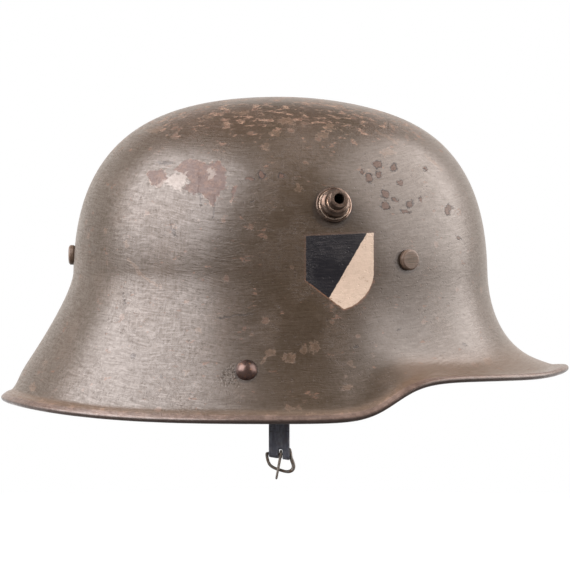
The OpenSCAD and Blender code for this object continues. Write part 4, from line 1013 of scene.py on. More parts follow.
def plated_steel(n, finishes):
    place = n.place()
    tone = n.node("SeparateColor", {0: n.cells(place, 260).part("Color")}).part("Red")
    cloud, crumbs = n.noise(place, 40, 4, 0.6), n.noise(place, 350, 4, 0.65)
    edge = n.fact("edge")
    tint = n.mix(tone * 0.35 + cloud * 0.5, dimmed(finishes.zinc, 0.55), finishes.zinc)
    dull = cloud.above(0.54, 0.2)
    tint = n.mix(dull * 0.5, tint, finishes.zinc_dull)
    specks = (crumbs + edge.absolute() * 0.10 + cloud * 0.22).above(0.79, 0.07)
    tint = n.mix(specks * 0.85, tint, finishes.rust)
    rough = 0.38 + tone * 0.10 + dull * 0.15 + specks * 0.25
    n.surface(tint, rough, crumbs * 0.03 + specks * 0.04, 0.85 - specks * 0.7)


def clouded(n, tints, cloud_scale, flecks, where, rough, height, metal=0.0):
    """Clouds between the first two tints, with flecks of the third. flecks are the scale and detail of their
    noise, where says above what level they show, how softly and how much of them."""
    place = n.place()
    cloud, crumbs = n.noise(place, cloud_scale, 3), n.noise(place, *flecks, 0.6)
    tint = n.mix(cloud.above(0.5, 0.4), tints[0], tints[1])
    tint = n.mix(crumbs.above(where[0], where[1]) * where[2], tint, tints[2])
    n.surface(tint, rough[0] + crumbs * rough[1], crumbs * height, metal)


def spring_steel(n, finishes):
    clouded(n, (finishes.spring_dark, finishes.spring, finishes.rust), 180, (600, 4), (0.62, 0.1, 0.7),
            (0.34, 0.2), 0.03, 0.9)


def dull_brass(n, finishes):
    place = n.place()
    cloud, edge = n.noise(place, 420, 4, 0.6), n.fact("edge")
    tint = n.mix(cloud.above(0.5, 0.3), dimmed(finishes.brass, 0.4), finishes.brass)
    tint = n.mix((-edge).above(0.3, 0.6), tint, finishes.brass_hollow)
    n.surface(tint, 0.34 + cloud * 0.22, cloud * 0.03, 0.8)


def liner_leather(n, finishes):
    place = n.place()
    grain = n.cells(place, 900, "DISTANCE_TO_EDGE").above(0.06, 0.16)
    fibres, cloud = n.noise(place, 1400, 3, 0.6), n.noise(place, 30, 4, 0.6)
    handled = n.noise(place, 75, 3, 0.6)
    creases = n.streaks(place, (60, 60, 420), 3, 0.6)
    tint = n.mix(cloud.above(0.52, 0.4), finishes.hide_dark, finishes.hide)
    tint = n.mix(handled.above(0.60, 0.2) * 0.6, tint, finishes.hide_dark)
    tint = n.mix((1 - grain) * 0.35, tint, finishes.hide_dark)
    tint = n.mix(fibres.above(0.62, 0.1) * 0.25, tint, finishes.hide_fibre)
    rough = 0.50 + (1 - grain) * 0.16 + (cloud - 0.5) * 0.2
    height = grain * 0.05 + fibres * 0.04 + creases.below(0.44, 0.1) * -0.10 + handled * 0.1
    n.surface(tint, rough, height)


def lace_cord(n, finishes):
    clouded(n, (dimmed(finishes.lace, 0.5), finishes.lace, finishes.lace_fibre), 120, (1800, 3),
            (0.58, 0.15, 0.4), (0.72, 0.1), 0.06)


def strap_leather(n, finishes):
    place = n.place()
    grain = n.cells(place, 1500, "DISTANCE_TO_EDGE").above(0.05, 0.16)
    rubs = n.streaks(place, (420, 420, 110), 4, 0.65)
    cloud = n.noise(place, 160, 3)
    cracks = n.streaks(place, (150, 150, 900), 3, 0.6)
    tint = n.mix(rubs.above(0.52, 0.22) * 0.75, finishes.strap, finishes.strap_worn)
    tint = n.mix(cloud.above(0.60, 0.14) * 0.45, tint, finishes.strap_stain)
    cracked = cracks.below(0.36, 0.05)
    tint = n.mix(cracked * 0.6, tint, finishes.strap_crack)
    n.surface(tint, 0.50 + rubs * 0.18, grain * 0.03 + rubs * 0.07 - cracked * 0.12)


def buckle_steel(n, finishes):
    clouded(n, (dimmed(finishes.buckle, 0.55), finishes.buckle, finishes.buckle_stain), 300, (900, 4),
            (0.56, 0.14, 0.7), (0.40, 0.25), 0.05, 0.6)


MAKERS = {maker.__name__: maker for maker in (
    field_paint, pin_paint, bare_steel, browned_steel, plated_steel, spring_steel, dull_brass, liner_leather,
    lace_cord, strap_leather, buckle_steel)}


def finish(name):
    """The material of that name, made when it is first asked for."""
    found = bpy.data.materials.get(name + "_finish")
    if found is None:
        found = bpy.data.materials.new(name + "_finish")
        MAKERS[name](Nodes(found), bpy.context.scene.steel_helmet.finishes)
    return found


def refinish(node, name):
    """Gives a CAD node a better material."""
    obj = frame["nodes"][node]
    obj.data.materials.clear()
    obj.data.materials.append(finish(name))


# The helmet's layout

def shell_form():
    helmet = bpy.context.scene.steel_helmet
    return ShellForm(helmet.shell, helmet.fittings)


def on_both_sides(seat):
    return [seat, seat.mirrored()]


def vent_seats():
    size = bpy.context.scene.steel_helmet.fittings
    return on_both_sides(shell_form().seat(size.vent_x, size.vent_z))


def strap_lug_seats():
    size = bpy.context.scene.steel_helmet.fittings
    return on_both_sides(shell_form().seat(size.lug_x, size.lug_z))


def pin_seats():
    size = bpy.context.scene.steel_helmet.fittings
    form = shell_form()
    return on_both_sides(form.seat(size.pin_x, size.pin_z).level()) + [form.rear_seat(size.rear_pin_z)]


def oval_depth(oval, seat):
    """Distance from a seat back along its normal to an oval wall."""
    depth = 0.0
    for _ in range(24):
        p = seat.point - depth * seat.normal
        depth += (math.hypot(p[0] / oval[0], p[1] / oval[1]) - 1) * min(oval)
    return depth


def washer_depth(seat):
    """Depth of the outer face of a flat plate that lies across the inside of the outer band."""
    half, play = 0.009, 0.0001
    ends = [Seat(seat.point + seat.round * way, seat.normal) for way in (-half, 0.0, half)]
    return play + max(oval_depth(band_ovals()[1], end) for end in ends)


def band_ovals():
    """Half length and half width of the inner band's outside, and of the outer band's inside and outside."""
    size = bpy.context.scene.steel_helmet.liner
    inner = size.leather_t + size.leather_gap + size.band_t
    outer = inner + size.leaf_gap
    return [(size.head_half_l + out, size.head_half_w + out) for out in (inner, outer, outer + size.band_t)]


def finger_seats(z):
    """Seats on the inner band behind each leather finger."""
    half_l, half_w = band_ovals()[0]
    count = bpy.context.scene.steel_helmet.liner.finger_count
    turns = [(k + 0.5) * 2 * math.pi / count for k in range(count)]
    return [Seat([half_l * math.cos(phi), half_w * math.sin(phi), z],
                 [math.cos(phi) / half_l, math.sin(phi) / half_w, 0]) for phi in turns]


class Piece(Operator):
    """Base of the operators: each makes one piece or one group of like pieces."""

    bl_options = {"REGISTER", "UNDO"}

    def execute(self, context):
        self.make(context.scene.steel_helmet)
        return {"FINISHED"}


class HELMET_OT_shell(Piece):
    """Pressed shell with its rolled edge and its seven holes"""
    bl_idname = "helmet.shell"
    bl_label = "Shell"

    def make(self, helmet):
        form, size = shell_form(), helmet.shell
        phi = np.linspace(0, 2 * math.pi, size.columns, endpoint=False)
        dome_rows, flare_rows, bead_rows, inner_rows = 84, 72, 20, 38
        outer = [form.outer(phi, i / dome_rows) for i in range(1, dome_rows + 1)]
        outer += [form.outer(phi, 1 + i / flare_rows) for i in range(1, flare_rows + 1)]
        bead = [form.bead(phi, size.bead_turn * i / bead_rows) for i in range(1, bead_rows + 1)]
        inner_s = [1 + i / inner_rows for i in range(inner_rows - 1, 0, -1)]
        inner_s += [i / inner_rows for i in range(inner_rows, 0, -1)]
        inner = [form.inner(phi, s) for s in inner_s]
        steps = [np.linalg.norm(outer[0] - [0, 0, size.crown_z], axis=1)]
        steps += [np.linalg.norm(b - a, axis=1) for a, b in zip(outer, outer[1:])]
        down = np.cumsum(steps, axis=0)
        reach = down[-1]
        lip = np.full(len(phi), 0.002)
        inner_steps = [np.linalg.norm(b - a, axis=1) for a, b in zip(inner, inner[1:])]
        inner_down = reach - np.cumsum([lip] + inner_steps, axis=0)
        all_down = np.concatenate([down, [reach] * bead_rows, inner_down])
        inside = np.zeros(all_down.shape)
        inside[-len(inner):] = 1
        bench = Bench()
        bench.grid(outer + bead + inner, caps=False, down=all_down, rim_gap=reach - all_down, inside=inside)
        count, last = len(bench.points), len(bench.points) - len(phi)
        bench.add([(0, 0, size.crown_z), (0, 0, size.crown_z - size.sheet_t)], [],
                  down=[0, 0], rim_gap=[float(reach[0])] * 2, inside=[0, 1])
        for j in range(len(phi)):
            k = (j + 1) % len(phi)
            bench.faces += [(count, j, k), (count + 1, last + k, last + j)]
        shell = bench.piece("helmet_shell", "field_paint", "helmet", "field_paint", ["shell"])
        fit, gap = helmet.fittings, 0.0002
        drill(shell, [(seat, fit.vent_hole_d / 2 + fit.vent_wall + gap) for seat in vent_seats()]
              + [(seat, fit.lug_rivet_d / 2 + gap) for seat in strap_lug_seats()]
              + [(seat, fit.pin_d / 2 + gap) for seat in pin_seats()])


class HELMET_OT_vent_lugs(Piece):
    """Two stepped ventilation lugs with their air holes and their washers inside"""
    bl_idname = "helmet.vent_lugs"
    bl_label = "Ventilation lugs"

    def make(self, helmet):
        size, sheet = helmet.fittings, helmet.shell.sheet_t
        hole, flange, step, nose = (d / 2 for d in (
            size.vent_hole_d, size.vent_flange_d, size.vent_step_d, size.vent_nose_d))
        shank, foot, back = hole + size.vent_wall, -0.00012, -sheet - 0.00062 - size.vent_washer_t
        brim = size.vent_flange_t
        step_z = brim + size.vent_step_h
        top = step_z + size.vent_nose_l
        profile = rounded([
            (hole, back - 0.0011), (shank + 0.0009, back - 0.0011), (shank + 0.0012, back - 0.0006),
            (shank + 0.0012, back), (shank, back), (shank, foot), (flange - 0.0003, foot),
            (flange, 0.0003), (flange, brim - 0.0002, 0.0005), (flange - 0.0010, brim + 0.0001, 0.0005),
            (flange - 0.0014, brim - 0.00045, 0.0003), (step + 0.0001, brim - 0.00045, 0.0003),
            (step, step_z - 0.0017, 0.0012), (step - 0.0014, step_z, 0.0012),
            (nose - 0.0006, step_z - 0.0001, 0.0002), (nose - 0.0006, step_z + 0.0009, 0.0004),
            (nose, step_z + 0.0014, 0.0003), (nose, top, 0.0004), (hole + 0.0002, top, 0.0002),
            (hole, top - 0.0004)], 0.00025, 5, closed=True)
        for name, seat in zip(("vent_lug_left", "vent_lug_right"), vent_seats()):
            bench = Bench()
            bench.lathe(profile, seat, 96, closed=True)
            bench.piece(name + "_turned", "bare_steel", "helmet", "bare_steel", [name], weighted=True)
        refinish("vent_lug_washers", "bare_steel")


class HELMET_OT_liner_pins(Piece):
    """Three split pins with flat heads, painted over, and the plates under their bent legs"""
    bl_idname = "helmet.liner_pins"
    bl_label = "Liner pins"

    def make(self, helmet):
        size, bench = helmet.fittings, Bench()
        r, h = size.pin_head_d / 2, size.pin_head_h
        head = rounded([(0, -0.0002), (r - 0.0004, -0.0002), (r, 0.0006), (r, h - 0.0008, 0.0006),
                        (r - 0.0009, h - 0.00005, 0.0006), (0, h)], 0.0004, 4)
        leg_t, plate_t, play = 0.0013, 0.0008, 0.00003
        for seat in pin_seats():
            bench.lathe(head, seat, 72)
            bend = -washer_depth(seat) - plate_t - play
            pin_r, tail = size.pin_d / 2, bend - leg_t
            shank = rounded([(0, tail), (pin_r, tail, 0.0005), (pin_r, -0.0001), (0, -0.0001)], 0.0003)
            bench.lathe(shank, seat, 40)
            for side in SIDES:
                bench.slab(*pin_leg(seat, side, bend, leg_t, size), used=np.ones((14, 4), bool))
        bench.piece("liner_pins_split", "pin_paint", "helmet", "field_paint", ["liner_pins"], weighted=True)
        refinish("pin_washers", "plated_steel")


def pin_leg(seat, side, bend, leg_t, size):
    """A flat leg that turns over the plate and narrows to a round end."""
    t = np.linspace(0, 1, 15)
    reach = side * (t * (size.pin_leg_l + size.pin_d / 2))
    tip = np.clip((t - 0.72) / 0.281, 0, 1)
    half = size.pin_d * 0.4 * np.sqrt(np.clip(1 - tip ** 2, 0.02, 1))
    sheets = []
    for level in (bend - leg_t + 0.00035 * t ** 2, np.full(len(t), bend)):
        sheets.append(np.array([seat.place(np.linspace(-wide, wide, 5) * side, around, height)
                                for around, wide, height in zip(reach, half, level)]))
    return sheets


class HELMET_OT_strap_lugs(Piece):
    """Domed rivets on the skirt, with the strap posts that they hold inside"""
    bl_idname = "helmet.strap_lugs"
    bl_label = "Strap lugs"

    def make(self, helmet):
        size, bench = helmet.fittings, Bench()
        r, h = size.lug_head_d / 2, size.lug_head_h
        ball = (r * r + h * h) / (2 * h)
        lean = math.asin(r / ball)
        dome = [(ball * math.sin(a), h - ball + ball * math.cos(a), 0.0) for a in np.linspace(0, lean, 15)]
        dome[-1] = (*dome[-1][:2], -0.6)
        tail = -helmet.shell.sheet_t - 0.00035 - size.lug_post_l
        shank = size.lug_rivet_d / 2
        back = [(r - 0.0003, -0.00025, 0.0), (shank, -0.00025, 0.0), (shank, tail, 0.0),
                (shank + 0.001, tail, 0.3), (shank + 0.0003, tail - 0.0007, 0.6), (0, tail - 0.0008, 0.0)]
        for seat in strap_lug_seats():
            bench.lathe(dome + back, seat, 72)
        bench.piece("strap_lug_domes", "browned_steel", "helmet", "bare_steel", ["strap_lug_rivets"])
        for side in ("right", "left"):
            refinish("strap_lug_post_" + side, "bare_steel")


def oval_band(bench, inside, outside, low, high, columns=300):
    """A flat band with rounded edges, bent to an oval."""
    phi = np.linspace(0, 2 * math.pi, columns, endpoint=False)
    soft = 0.3
    section = rounded([(0, 0), (1, 0), (1, 1), (0, 1)], soft, 3, closed=True)
    rise, edge_h = high - low, soft * (outside[0] - inside[0])
    rows, edge = [], []
    for u, v, e in section:
        height = low + np.interp(v, [0, soft, 1 - soft, 1], [0, edge_h, rise - edge_h, rise])
        half_l, half_w = (a + (b - a) * u for a, b in zip(inside, outside))
        rows.append(stack(half_l * np.cos(phi), half_w * np.sin(phi), height))
        edge.append([e] * columns)
    bench.grid(rows, wrap_rows=True, edge=edge)


class HELMET_OT_bands(Piece):
    """Outer band with its pressed bosses, and the inner band inside it"""
    bl_idname = "helmet.bands"
    bl_label = "Liner bands"

    def make(self, helmet):
        inner_out, outer_in, outer_out = band_ovals()
        t, size = helmet.liner.band_t, helmet.fittings
        bench = Bench()
        oval_band(bench, outer_in, outer_out, BAND_LOW.z, BAND_HIGH.z)
        for seat in pin_seats():
            start, end = -oval_depth(outer_out, seat) - t / 2, -helmet.shell.sheet_t - 0.00075
            boss = rounded([(size.pin_d / 2, start), (0.0070, start), (0.0045, end, 0.0008),
                            (size.pin_d / 2, end)], 0.0003, 4, closed=True)
            bench.lathe(boss, seat, 48, closed=True)
        bench.piece("outer_band_rolled", "plated_steel", "helmet", "zinc_plate", ["outer_band"],
                    weighted=True)
        bench = Bench()
        oval_band(bench, [a - t for a in inner_out], inner_out, INNER_LOW.z, INNER_HIGH.z)
        bench.piece("inner_band_rolled", "plated_steel", "helmet", "zinc_plate", ["inner_band"],
                    weighted=True)
        refinish("spring_leaves", "spring_steel")


class HELMET_OT_rivets(Piece):
    """Small rivets of the leaves, the leather, the brackets and the strap"""
    bl_idname = "helmet.rivets"
    bl_label = "Small rivets"

    def make(self, helmet):
        size, proud = helmet.liner, 0.0001
        wall, t, strap_t = band_ovals()[0], helmet.liner.band_t, helmet.strap.leather_t + 0.00003
        bar = JOINT_AT["strap_swing"]
        x = size.bracket_rivet_x
        y = wall[1] * math.sqrt(1 - (x / wall[0]) ** 2)
        brackets = [Seat([way * x, side * y, size.bracket_rivet_z], [0, side, 0])
                    for side in SIDES for way in (-1, 1)]
        self.rivets("leaf_rivets", finger_seats(size.leaf_rivet_z), -t - proud, 0.00065 + proud,
                    size.leaf_rivet_d)
        self.rivets("leather_rivets", finger_seats(size.leather_rivet_z),
                    size.head_half_l - wall[0] - 2 * proud, proud, size.leather_rivet_d)
        self.rivets("bracket_rivets", brackets, -t - 2.5 * proud, 0.0013, size.leaf_rivet_d)
        strap_seat = Seat([0, bar[1], bar[2] - helmet.strap.rivet_drop], [0, -1, 0])
        self.rivets("strap_rivet", [strap_seat], -strap_t, strap_t, size.leaf_rivet_d, "strap")

    def rivets(self, node, seats, low, high, d, body="helmet"):
        """Rivets whose domed heads lie on the levels low and high of their seats."""
        bench, head, rise = Bench(), d * 0.95, 0.0004
        profile = [(0, low - rise, 0.0)]
        profile += [(head * math.sin(a), low - rise * math.cos(a), 0.0) for a in np.radians([25, 50, 72, 90])]
        profile += [(d / 2, low, -1.0), (d / 2, high, -1.0)]
        profile += [(head * math.cos(a), high + rise * math.sin(a), 0.0) for a in np.radians([0, 18, 40, 65])]
        for seat in seats:
            bench.lathe(profile + [(0, high + rise, 0.0)], seat, 32)
        bench.piece(node + "_domed", "dull_brass", body, "brass_rivet", [node])


# Leather liner

def leather_face(phi, rise, off):
    """A point of the leather. rise is an angle on its dome, or from -1 to 0 up its plain band."""
    size = bpy.context.scene.steel_helmet.liner
    power, band = size.leather_square, size.leather_band_h
    on_dome = rise > 0
    lift = np.where(on_dome, rise, 0)
    half_l, half_w, dome_h = size.head_half_l, size.head_half_w, size.leather_dome_h
    z = np.where(on_dome, band + dome_h * np.sin(lift) ** (2 / power), band * (1 + np.minimum(rise, 0)))
    u = np.where(on_dome, np.cos(lift) ** (2 / power), 1)
    p = stack(half_l * u * np.cos(phi), half_w * u * np.sin(phi), z)
    q = np.maximum(0, z - band) / dome_h
    lean = u ** (power - 1)
    normal = unit(stack(lean * np.cos(phi) / half_l, lean * np.sin(phi) / half_w, q ** (power - 1) / dome_h))
    return p + np.asarray(off)[..., None] * normal


class HELMET_OT_leather(Piece):
    """Hide band that divides into fingers, with a hole near each tip"""
    bl_idname = "helmet.leather"
    bl_label = "Leather liner"

    def make(self, helmet):
        size = helmet.liner
        pitch, cells, band_rows, finger_rows = 2 * math.pi / size.finger_count, 20, 8, 44
        lines = cells + 1
        rises = np.concatenate([np.linspace(-1, 0, band_rows, endpoint=False),
                                np.linspace(0, size.finger_reach, finger_rows + 1)])
        k = np.clip(np.arange(len(rises)) - band_rows, 0, None) / finger_rows
        half = pitch / 2 - np.radians(0.9 + 3.2 * k + 6 * k ** 14)
        columns = np.arange(size.finger_count * lines)
        middle = (columns // lines + 0.5) * pitch
        across = 2 * (columns % lines) / cells - 1
        phi = middle[None, :] + half[:, None] * across[None, :]
        rise = np.broadcast_to(rises[:, None], phi.shape)
        ripple = np.sin(phi * 13 + k[:, None] * 4) * 0.5 + np.sin(phi * 29 + 1.3 + k[:, None] * 9) * 0.5
        cup = across[None, :] ** 2 * k[:, None] * (1 - k[:, None]) * 4
        off = ripple * 0.00012 * (0.4 + k[:, None]) + cup * 0.0005
        inner, outer = leather_face(phi, rise, off), leather_face(phi, rise, off + size.leather_t)
        used = np.ones((len(rises) - 1, len(columns)), bool)
        used[band_rows:, cells::lines] = False
        for finger in range(size.finger_count):
            centre = leather_face(np.array((finger + 0.5) * pitch), np.array(size.lace_reach), np.array(0.0))
            columns_here = range(finger * lines, finger * lines + cells + 1)
            self.open_hole(inner, outer, used, centre, columns_here, size.lace_hole_d / 2)
        bench = Bench()
        bench.slab(inner, outer, used, wrap=True)
        bench.piece("leather_liner_hide", "liner_leather", "helmet", "liner_leather", ["leather_liner"], 1)

    def open_hole(self, inner, outer, used, centre, columns, radius):
        """Takes the cells within the radius away, and moves the points beside them onto the hole's edge."""
        rows = range(len(inner))
        for i in rows[:-1]:
            for j in columns[:-1]:
                if np.linalg.norm(inner[i:i + 2, j:j + 2].mean((0, 1)) - centre) < radius:
                    used[i][j] = False
        for i in rows[1:-1]:
            for j in columns[1:-1]:
                beside = used[i - 1:i + 1, j - 1:j + 1]
                if beside.all() or not beside.any() or np.linalg.norm(inner[i, j] - centre) > 2 * radius:
                    continue
                away = inner[i, j] - centre
                move = away / np.linalg.norm(away) * radius + centre - inner[i, j]
                inner[i, j] += move
                outer[i, j] += move


def lace_point(phi):
    """The lace goes out through one finger and in through the next."""
    size = bpy.context.scene.steel_helmet.liner
    pitch = 2 * math.pi / size.finger_count
    k = np.floor(phi / pitch)
    face = leather_face(phi, np.full_like(phi, size.lace_reach), np.full_like(phi, size.leather_t / 2))
    radius = np.linalg.norm(face[..., :2], axis=-1)
    side = np.where(k % 2 == 0, 1, -1)
    swing, soft = (size.leather_t + size.lace_d) / 2 + 0.0005, 0.00176
    off = side * swing * np.tanh((phi - (k + 0.5) * pitch) * radius / soft)
    return leather_face(phi, np.full_like(phi, size.lace_reach), size.leather_t / 2 + off)


def twisted(radius, turns_a_ring, strands=3):
    """Section of a cord whose strands wind round each other."""
    def section(ring, turn):
        lobe = np.abs(np.cos(strands / 2 * (turn - turns_a_ring * ring)))
        return radius * (0.80 + 0.20 * lobe)
    return section


class HELMET_OT_lace(Piece):
    """Twisted lace through the finger tips, tied at the back"""
    bl_idname = "helmet.lace"
    bl_label = "Liner lace"

    def make(self, helmet):
        size, bench = helmet.liner, Bench()
        rings = size.finger_count * 72
        phi = np.linspace(0, 2 * math.pi, rings, endpoint=False) + 0.001
        bench.tube(lace_point(phi), twisted(size.lace_d / 2, 0.16), 24, closed=True)
        knot = lace_point(np.array([math.pi]))[0]
        turn = np.linspace(0, 2 * math.pi * 2.2, 60)
        wrap_r, wide = 0.0015, np.linspace(-0.0013, 0.0013, 60)
        wraps = knot + stack(wrap_r * np.cos(turn), wide, wrap_r * np.sin(turn))
        bench.tube(wraps, 0.00072, 14)
        for side in SIDES:
            t = np.linspace(0, 1, 26)
            hang = stack(0.0012 + 0.0065 * t, side * (0.0012 + 0.004 * t ** 1.5), -0.0006 - 0.0032 * t * t)
            bench.tube(knot + hang, twisted(size.lace_d / 2 * 0.82, 0.28), 18)
        bench.piece("liner_lace_cord", "lace_cord", "helmet", "lace_leather", ["liner_lace"])


class HELMET_OT_bails(Piece):
    """Brackets and bails of the chin strap"""
    bl_idname = "helmet.bails"
    bl_label = "Brackets and bails"

    def make(self, helmet):
        for side in ("right", "left"):
            refinish("bail_bracket_" + side, "plated_steel")
            refinish("bail_" + side, "plated_steel")


class HELMET_OT_strap(Piece):
    """Short strap half, doubled round the bail above and the buckle's bar below"""
    bl_idname = "helmet.strap"
    bl_label = "Chin strap"

    tuck = 0.0215    # from the bail's bar down to the leather's hidden end
    bulge = 0.006    # over which the two layers part to go round a bar
    cells = 12
    # Places across the strap of the slot's one side, middle and other side
    slot_front, slot_back = (-0.0003, 0.0007, 0.00175), (0.0001, 0.0009, 0.0017)

    def make(self, helmet):
        size, middle = helmet.strap, self.cells // 2
        top, low = np.array(JOINT_AT["strap_swing"]), np.array(JOINT_AT["buckle_swing"])
        t, drop, loose = size.leather_t, top[2] - low[2], 0.00006
        upper, lower = (wire_d / 2 + loose + t / 2 for wire_d in (size.bail_wire_d, size.buckle_wire_d))
        lay = t / 2 + 0.00002

        def run(side, start, end, count, slot_l=None):
            """(y, z) points of one layer's middle, with a row at the end of its slot."""
            z = np.linspace(start, end, count)
            if slot_l:
                z[np.abs(z + drop - slot_l).argmin()] = slot_l - drop
            near_top, near_low = (np.clip(1 - way / self.bulge, 0, 1) ** 1.6 for way in (-z, z + drop))
            return stack(side * (lay + np.maximum((upper - lay) * near_top, (lower - lay) * near_low)), z)

        def bend(radius, z, start):
            turn = np.linspace(start, start + math.pi, 20)[1:-1]
            return stack(radius * np.cos(turn), z + radius * np.sin(turn))

        line = np.concatenate([
            run(1, -self.tuck, 0, 34), bend(upper, 0, 0), run(-1, 0, -drop, 96, size.slot_l),
            bend(lower, -drop, math.pi), run(1, -drop, -self.tuck - 0.0008, 72, size.slot_back_l)])
        ahead = unit(np.gradient(line, axis=0))
        square = stack(-ahead[:, 1], ahead[:, 0])
        away, front = line[:, 1] + drop, line[:, 0] < 0
        in_slot = away < np.where(front, size.slot_l, size.slot_back_l) + 0.00001
        inner, outer = [], []
        for i, (y, z) in enumerate(line):
            x = np.linspace(-size.width / 2, size.width / 2, self.cells + 1)
            x[1:-1] *= 0.985
            if in_slot[i]:
                x[middle - 1:middle + 2] = self.slot_front if front[i] else self.slot_back
            slant = -0.16 * x * np.clip(1 - away[i] / 0.012, 0, 1) ** 2
            sway = 0.00022 * math.sin(z * 190 + 0.7) + 0.00012 * np.sin(z * 410 + x * 300)
            for rows, side in ((inner, -0.5), (outer, 0.5)):
                offset = square[i] * side * t
                rows.append(stack(x, y + offset[0] + sway * (away[i] > 0.004), z + offset[1] + slant))
        used = np.ones((len(line) - 1, self.cells), bool)
        used[:, middle - 1:middle + 1] = ~(in_slot[:-1] & in_slot[1:])[:, None]
        bench = Bench()
        bench.slab(np.array(outer) + top, np.array(inner) + top, used)
        bench.piece("chin_strap_leather", "strap_leather", "strap", "strap_leather", ["chin_strap"], 1)


def smooth_ring(points, steps):
    """A closed curve through points, by cubic pieces."""
    line = []
    for i in range(len(points)):
        p0, p1, p2, p3 = (points[(i + k) % len(points)] for k in (-1, 0, 1, 2))
        for t in np.linspace(0, 1, steps, endpoint=False):
            line.append(0.5 * (2 * p1 + (p2 - p0) * t + (2 * p0 - 5 * p1 + 4 * p2 - p3) * t * t
                               + (3 * p1 - p0 - 3 * p2 + p3) * t ** 3))
    return np.array(line)


class HELMET_OT_buckle(Piece):
    """Bent wire frame of the buckle, and its prong"""
    bl_idname = "helmet.buckle"
    bl_label = "Buckle"

    # (x, z) of the frame's wire from its bar, in millimetres
    frame_mm = np.array([
        (-5.9, 0.3), (-2.7, 0.0), (0.5, 0.0), (3.1, 0.2), (4.4, 1.2), (5.0, 2.4), (5.5, 1.0), (5.9, -1.6),
        (6.5, -3.4), (7.1, -5.2), (7.2, -6.8), (6.5, -8.1), (5.0, -8.8), (3.2, -8.8), (1.3, -8.3),
        (-1.2, -7.5), (-3.2, -6.6), (-4.8, -5.2), (-5.7, -3.2), (-6.15, -1.0)])
    prong_x, prong_lean = 0.0009, 0.182

    def make(self, helmet):
        size, bar = helmet.strap, np.array(JOINT_AT["buckle_swing"])
        line = smooth_ring(self.frame_mm * 0.001, 9)
        wire_r = size.buckle_wire_d / 2 * (1 + 0.28 * np.clip((line[:, 0] - 0.0035) / 0.003, 0, 1))
        bench = Bench()
        bench.tube(stack(line[:, 0], 0.0, line[:, 1]) + bar, lambda i, turn: wire_r[i], 20, closed=True)
        bench.piece("buckle_frame_wire", "buckle_steel", "buckle", "buckle_steel", ["buckle_frame"])

        lay = (size.buckle_wire_d + size.prong_d) / 2 + 0.00005
        turn = np.radians(np.linspace(-78, 250, 22))[:12]
        eye = stack(self.prong_x, -lay * np.cos(turn), lay * np.sin(turn))
        t = np.linspace(0, 1, 30)[1:]
        blade = stack(self.prong_x - self.prong_lean * size.prong_l * t,
                      -lay - 0.0003 * (1 - (1 - t) ** 3), 0.0004 - size.prong_l * t)
        prong_r = size.prong_d / 2 * np.concatenate([np.ones(len(turn)), 1 - 0.22 * t ** 2])
        prong_r[-1] *= 0.55
        bench = Bench()
        bench.tube(np.concatenate([eye, blade]) + bar, lambda i, turn: prong_r[i], 18)
        bench.piece("buckle_prong_wire", "buckle_steel", "prong", "buckle_steel", ["buckle_prong"])


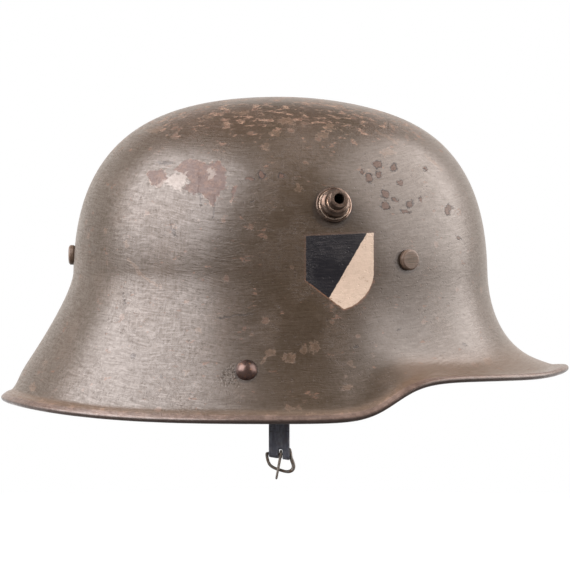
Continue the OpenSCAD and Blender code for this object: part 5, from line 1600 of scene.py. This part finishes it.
class HELMET_OT_stage(Piece):
    """Pale floor, soft lamps, plain background and the camera"""
    bl_idname = "helmet.stage"
    bl_label = "Stage"

    # Name, place, width and height, power and colour of each lamp
    lamps = (("left_box", (-1.10, -0.61, 0.80), (1.7, 1.4), 68.0, (1.0, 0.915, 0.895)),
             ("right_box", (1.20, -0.15, 0.72), (2.0, 1.6), 51.0, (1.0, 0.90, 0.855)),
             ("top_box", (0.25, -0.30, 1.55), (1.4, 0.8), 3.0, (1.0, 0.92, 0.88)))
    fill = 0.22

    def make(self, helmet):
        scene, size = bpy.context.scene, helmet.stage
        scene.view_settings.view_transform = "Standard"
        self.background(scene)
        self.floor(size)
        for lamp in self.lamps:
            self.lamp(*lamp)
        camera = bpy.data.cameras.new("camera")
        camera.sensor_width, camera.sensor_fit = 36, "HORIZONTAL"
        camera.lens = camera.sensor_width * size.view_distance / size.view_width
        camera.dof.use_dof = False
        holder = bpy.data.objects.new("camera", camera)
        holder.location = (size.view_x, -size.view_distance, 0)
        holder.rotation_euler = (math.pi / 2, 0, 0)
        scene.collection.objects.link(holder)
        scene.camera = holder

    def seen(self, n):
        """1 for the rays that show the background."""
        path = n.node("LightPath")
        mirrored = path.part("Is Camera Ray").most(path.part("Is Glossy Ray"))
        return mirrored.most(path.part("Is Transmission Ray"))

    def background(self, scene):
        """White to look at. The helmet mirrors a white backdrop behind it, and a dim room above and ahead."""
        scene.world = bpy.data.worlds.new("studio")
        n = Nodes(scene.world)
        _, y, z = n.axes(n.node("TexCoord").part("Generated"))
        backdrop = y.above(-0.1, 0.5) * z.below(0.60, 0.36)
        mirrored = self.fill + backdrop * (1 - self.fill)
        straight = n.node("LightPath").part("Is Camera Ray")
        fill = n.node("Background", {"Color": WHITE, "Strength": self.fill})
        tint = n.mix(straight, (1.0, 0.92, 0.86), (1.0, 1.0, 1.0))
        white = n.node("Background", {"Color": tint, "Strength": straight.most(mirrored)})
        n.node("OutputWorld", {"Surface": n.blend(self.seen(n), fill, white)})

    def floor(self, size):
        """Matt, and white where it is far off or mirrored. It is clear from below, so that views from there
        show the inside."""
        half, z = 3.0, size.floor_z
        mesh = bpy.data.meshes.new("floor")
        mesh.from_pydata([(-half, -half, z), (half, -half, z), (half, half, z), (-half, half, z)], [],
                         [(0, 1, 2, 3)])
        material = bpy.data.materials.new("pale_floor")
        n = Nodes(material)
        geometry = n.node("NewGeometry")
        place = geometry.part("Position")
        behind = n.axes(place)[1].above(0.1, 0.6)
        far = n.vector("LENGTH", n.vector("MULTIPLY", place, (1, 1, 0))).above(0.55, 0.6)
        matt = n.node("BsdfDiffuse", {"Color": (0.8, 0.8, 0.8, 1)})
        glow = n.node("Emission", {"Color": WHITE, "Strength": 0.40})
        white = n.node("Emission", {"Color": WHITE, "Strength": 1.0})
        shown = n.blend(far, n.node("AddShader", {0: matt, 1: glow}), white)
        dim = n.node("BsdfDiffuse", {"Color": (0.12, 0.12, 0.12, 1)})
        straight = n.node("LightPath").part("Is Camera Ray")
        lit = n.blend(straight.most(self.seen(n) * behind), dim, shown)
        shader = n.blend(geometry.part("Backfacing"), lit, n.node("BsdfTransparent"))
        n.node("OutputMaterial", {"Surface": shader})
        mesh.materials.append(material)
        floor = bpy.data.objects.new("floor", mesh)
        bpy.context.scene.collection.objects.link(floor)

    def lamp(self, name, place, size, watts, tint):
        light = bpy.data.lights.new(name, "AREA")
        light.shape, light.energy, light.color = "RECTANGLE", watts, tint
        light.size, light.size_y = size
        lamp = bpy.data.objects.new(name, light)
        lamp.location = place
        lamp.rotation_euler = (-Vector(place)).to_track_quat("-Z", "Y").to_euler()
        bpy.context.scene.collection.objects.link(lamp)


class HELMET_PT_panel(Panel):
    """Lists the helmet's pieces in the 3D view's sidebar"""
    bl_label = "Steel helmet"
    bl_space_type = "VIEW_3D"
    bl_region_type = "UI"
    bl_category = "Helmet"

    def draw(self, context):
        for piece in PIECES:
            self.layout.operator(piece.bl_idname)
        for group in ("shell", "fittings", "liner", "strap", "finishes", "stage"):
            settings = getattr(context.scene.steel_helmet, group)
            for key in settings.__annotations__:
                self.layout.prop(settings, key)


GROUPS = [ShellSizes, FittingSizes, LinerSizes, StrapSizes, Finishes, StageSizes, SteelHelmet]
PIECES = [HELMET_OT_stage, HELMET_OT_shell, HELMET_OT_vent_lugs, HELMET_OT_liner_pins, HELMET_OT_strap_lugs,
          HELMET_OT_bands, HELMET_OT_rivets, HELMET_OT_leather, HELMET_OT_lace, HELMET_OT_bails,
          HELMET_OT_strap, HELMET_OT_buckle]


def register():
    for group in [*GROUPS, *PIECES, HELMET_PT_panel]:
        bpy.utils.register_class(group)
    bpy.types.Scene.steel_helmet = PointerProperty(type=SteelHelmet)


def unregister():
    del bpy.types.Scene.steel_helmet
    for group in reversed([*GROUPS, *PIECES, HELMET_PT_panel]):
        bpy.utils.unregister_class(group)


def main():
    register()
    for piece in PIECES:
        category, name = piece.bl_idname.split(".")
        getattr(getattr(bpy.ops, category), name)()


if __name__ == "__main__":
    main()
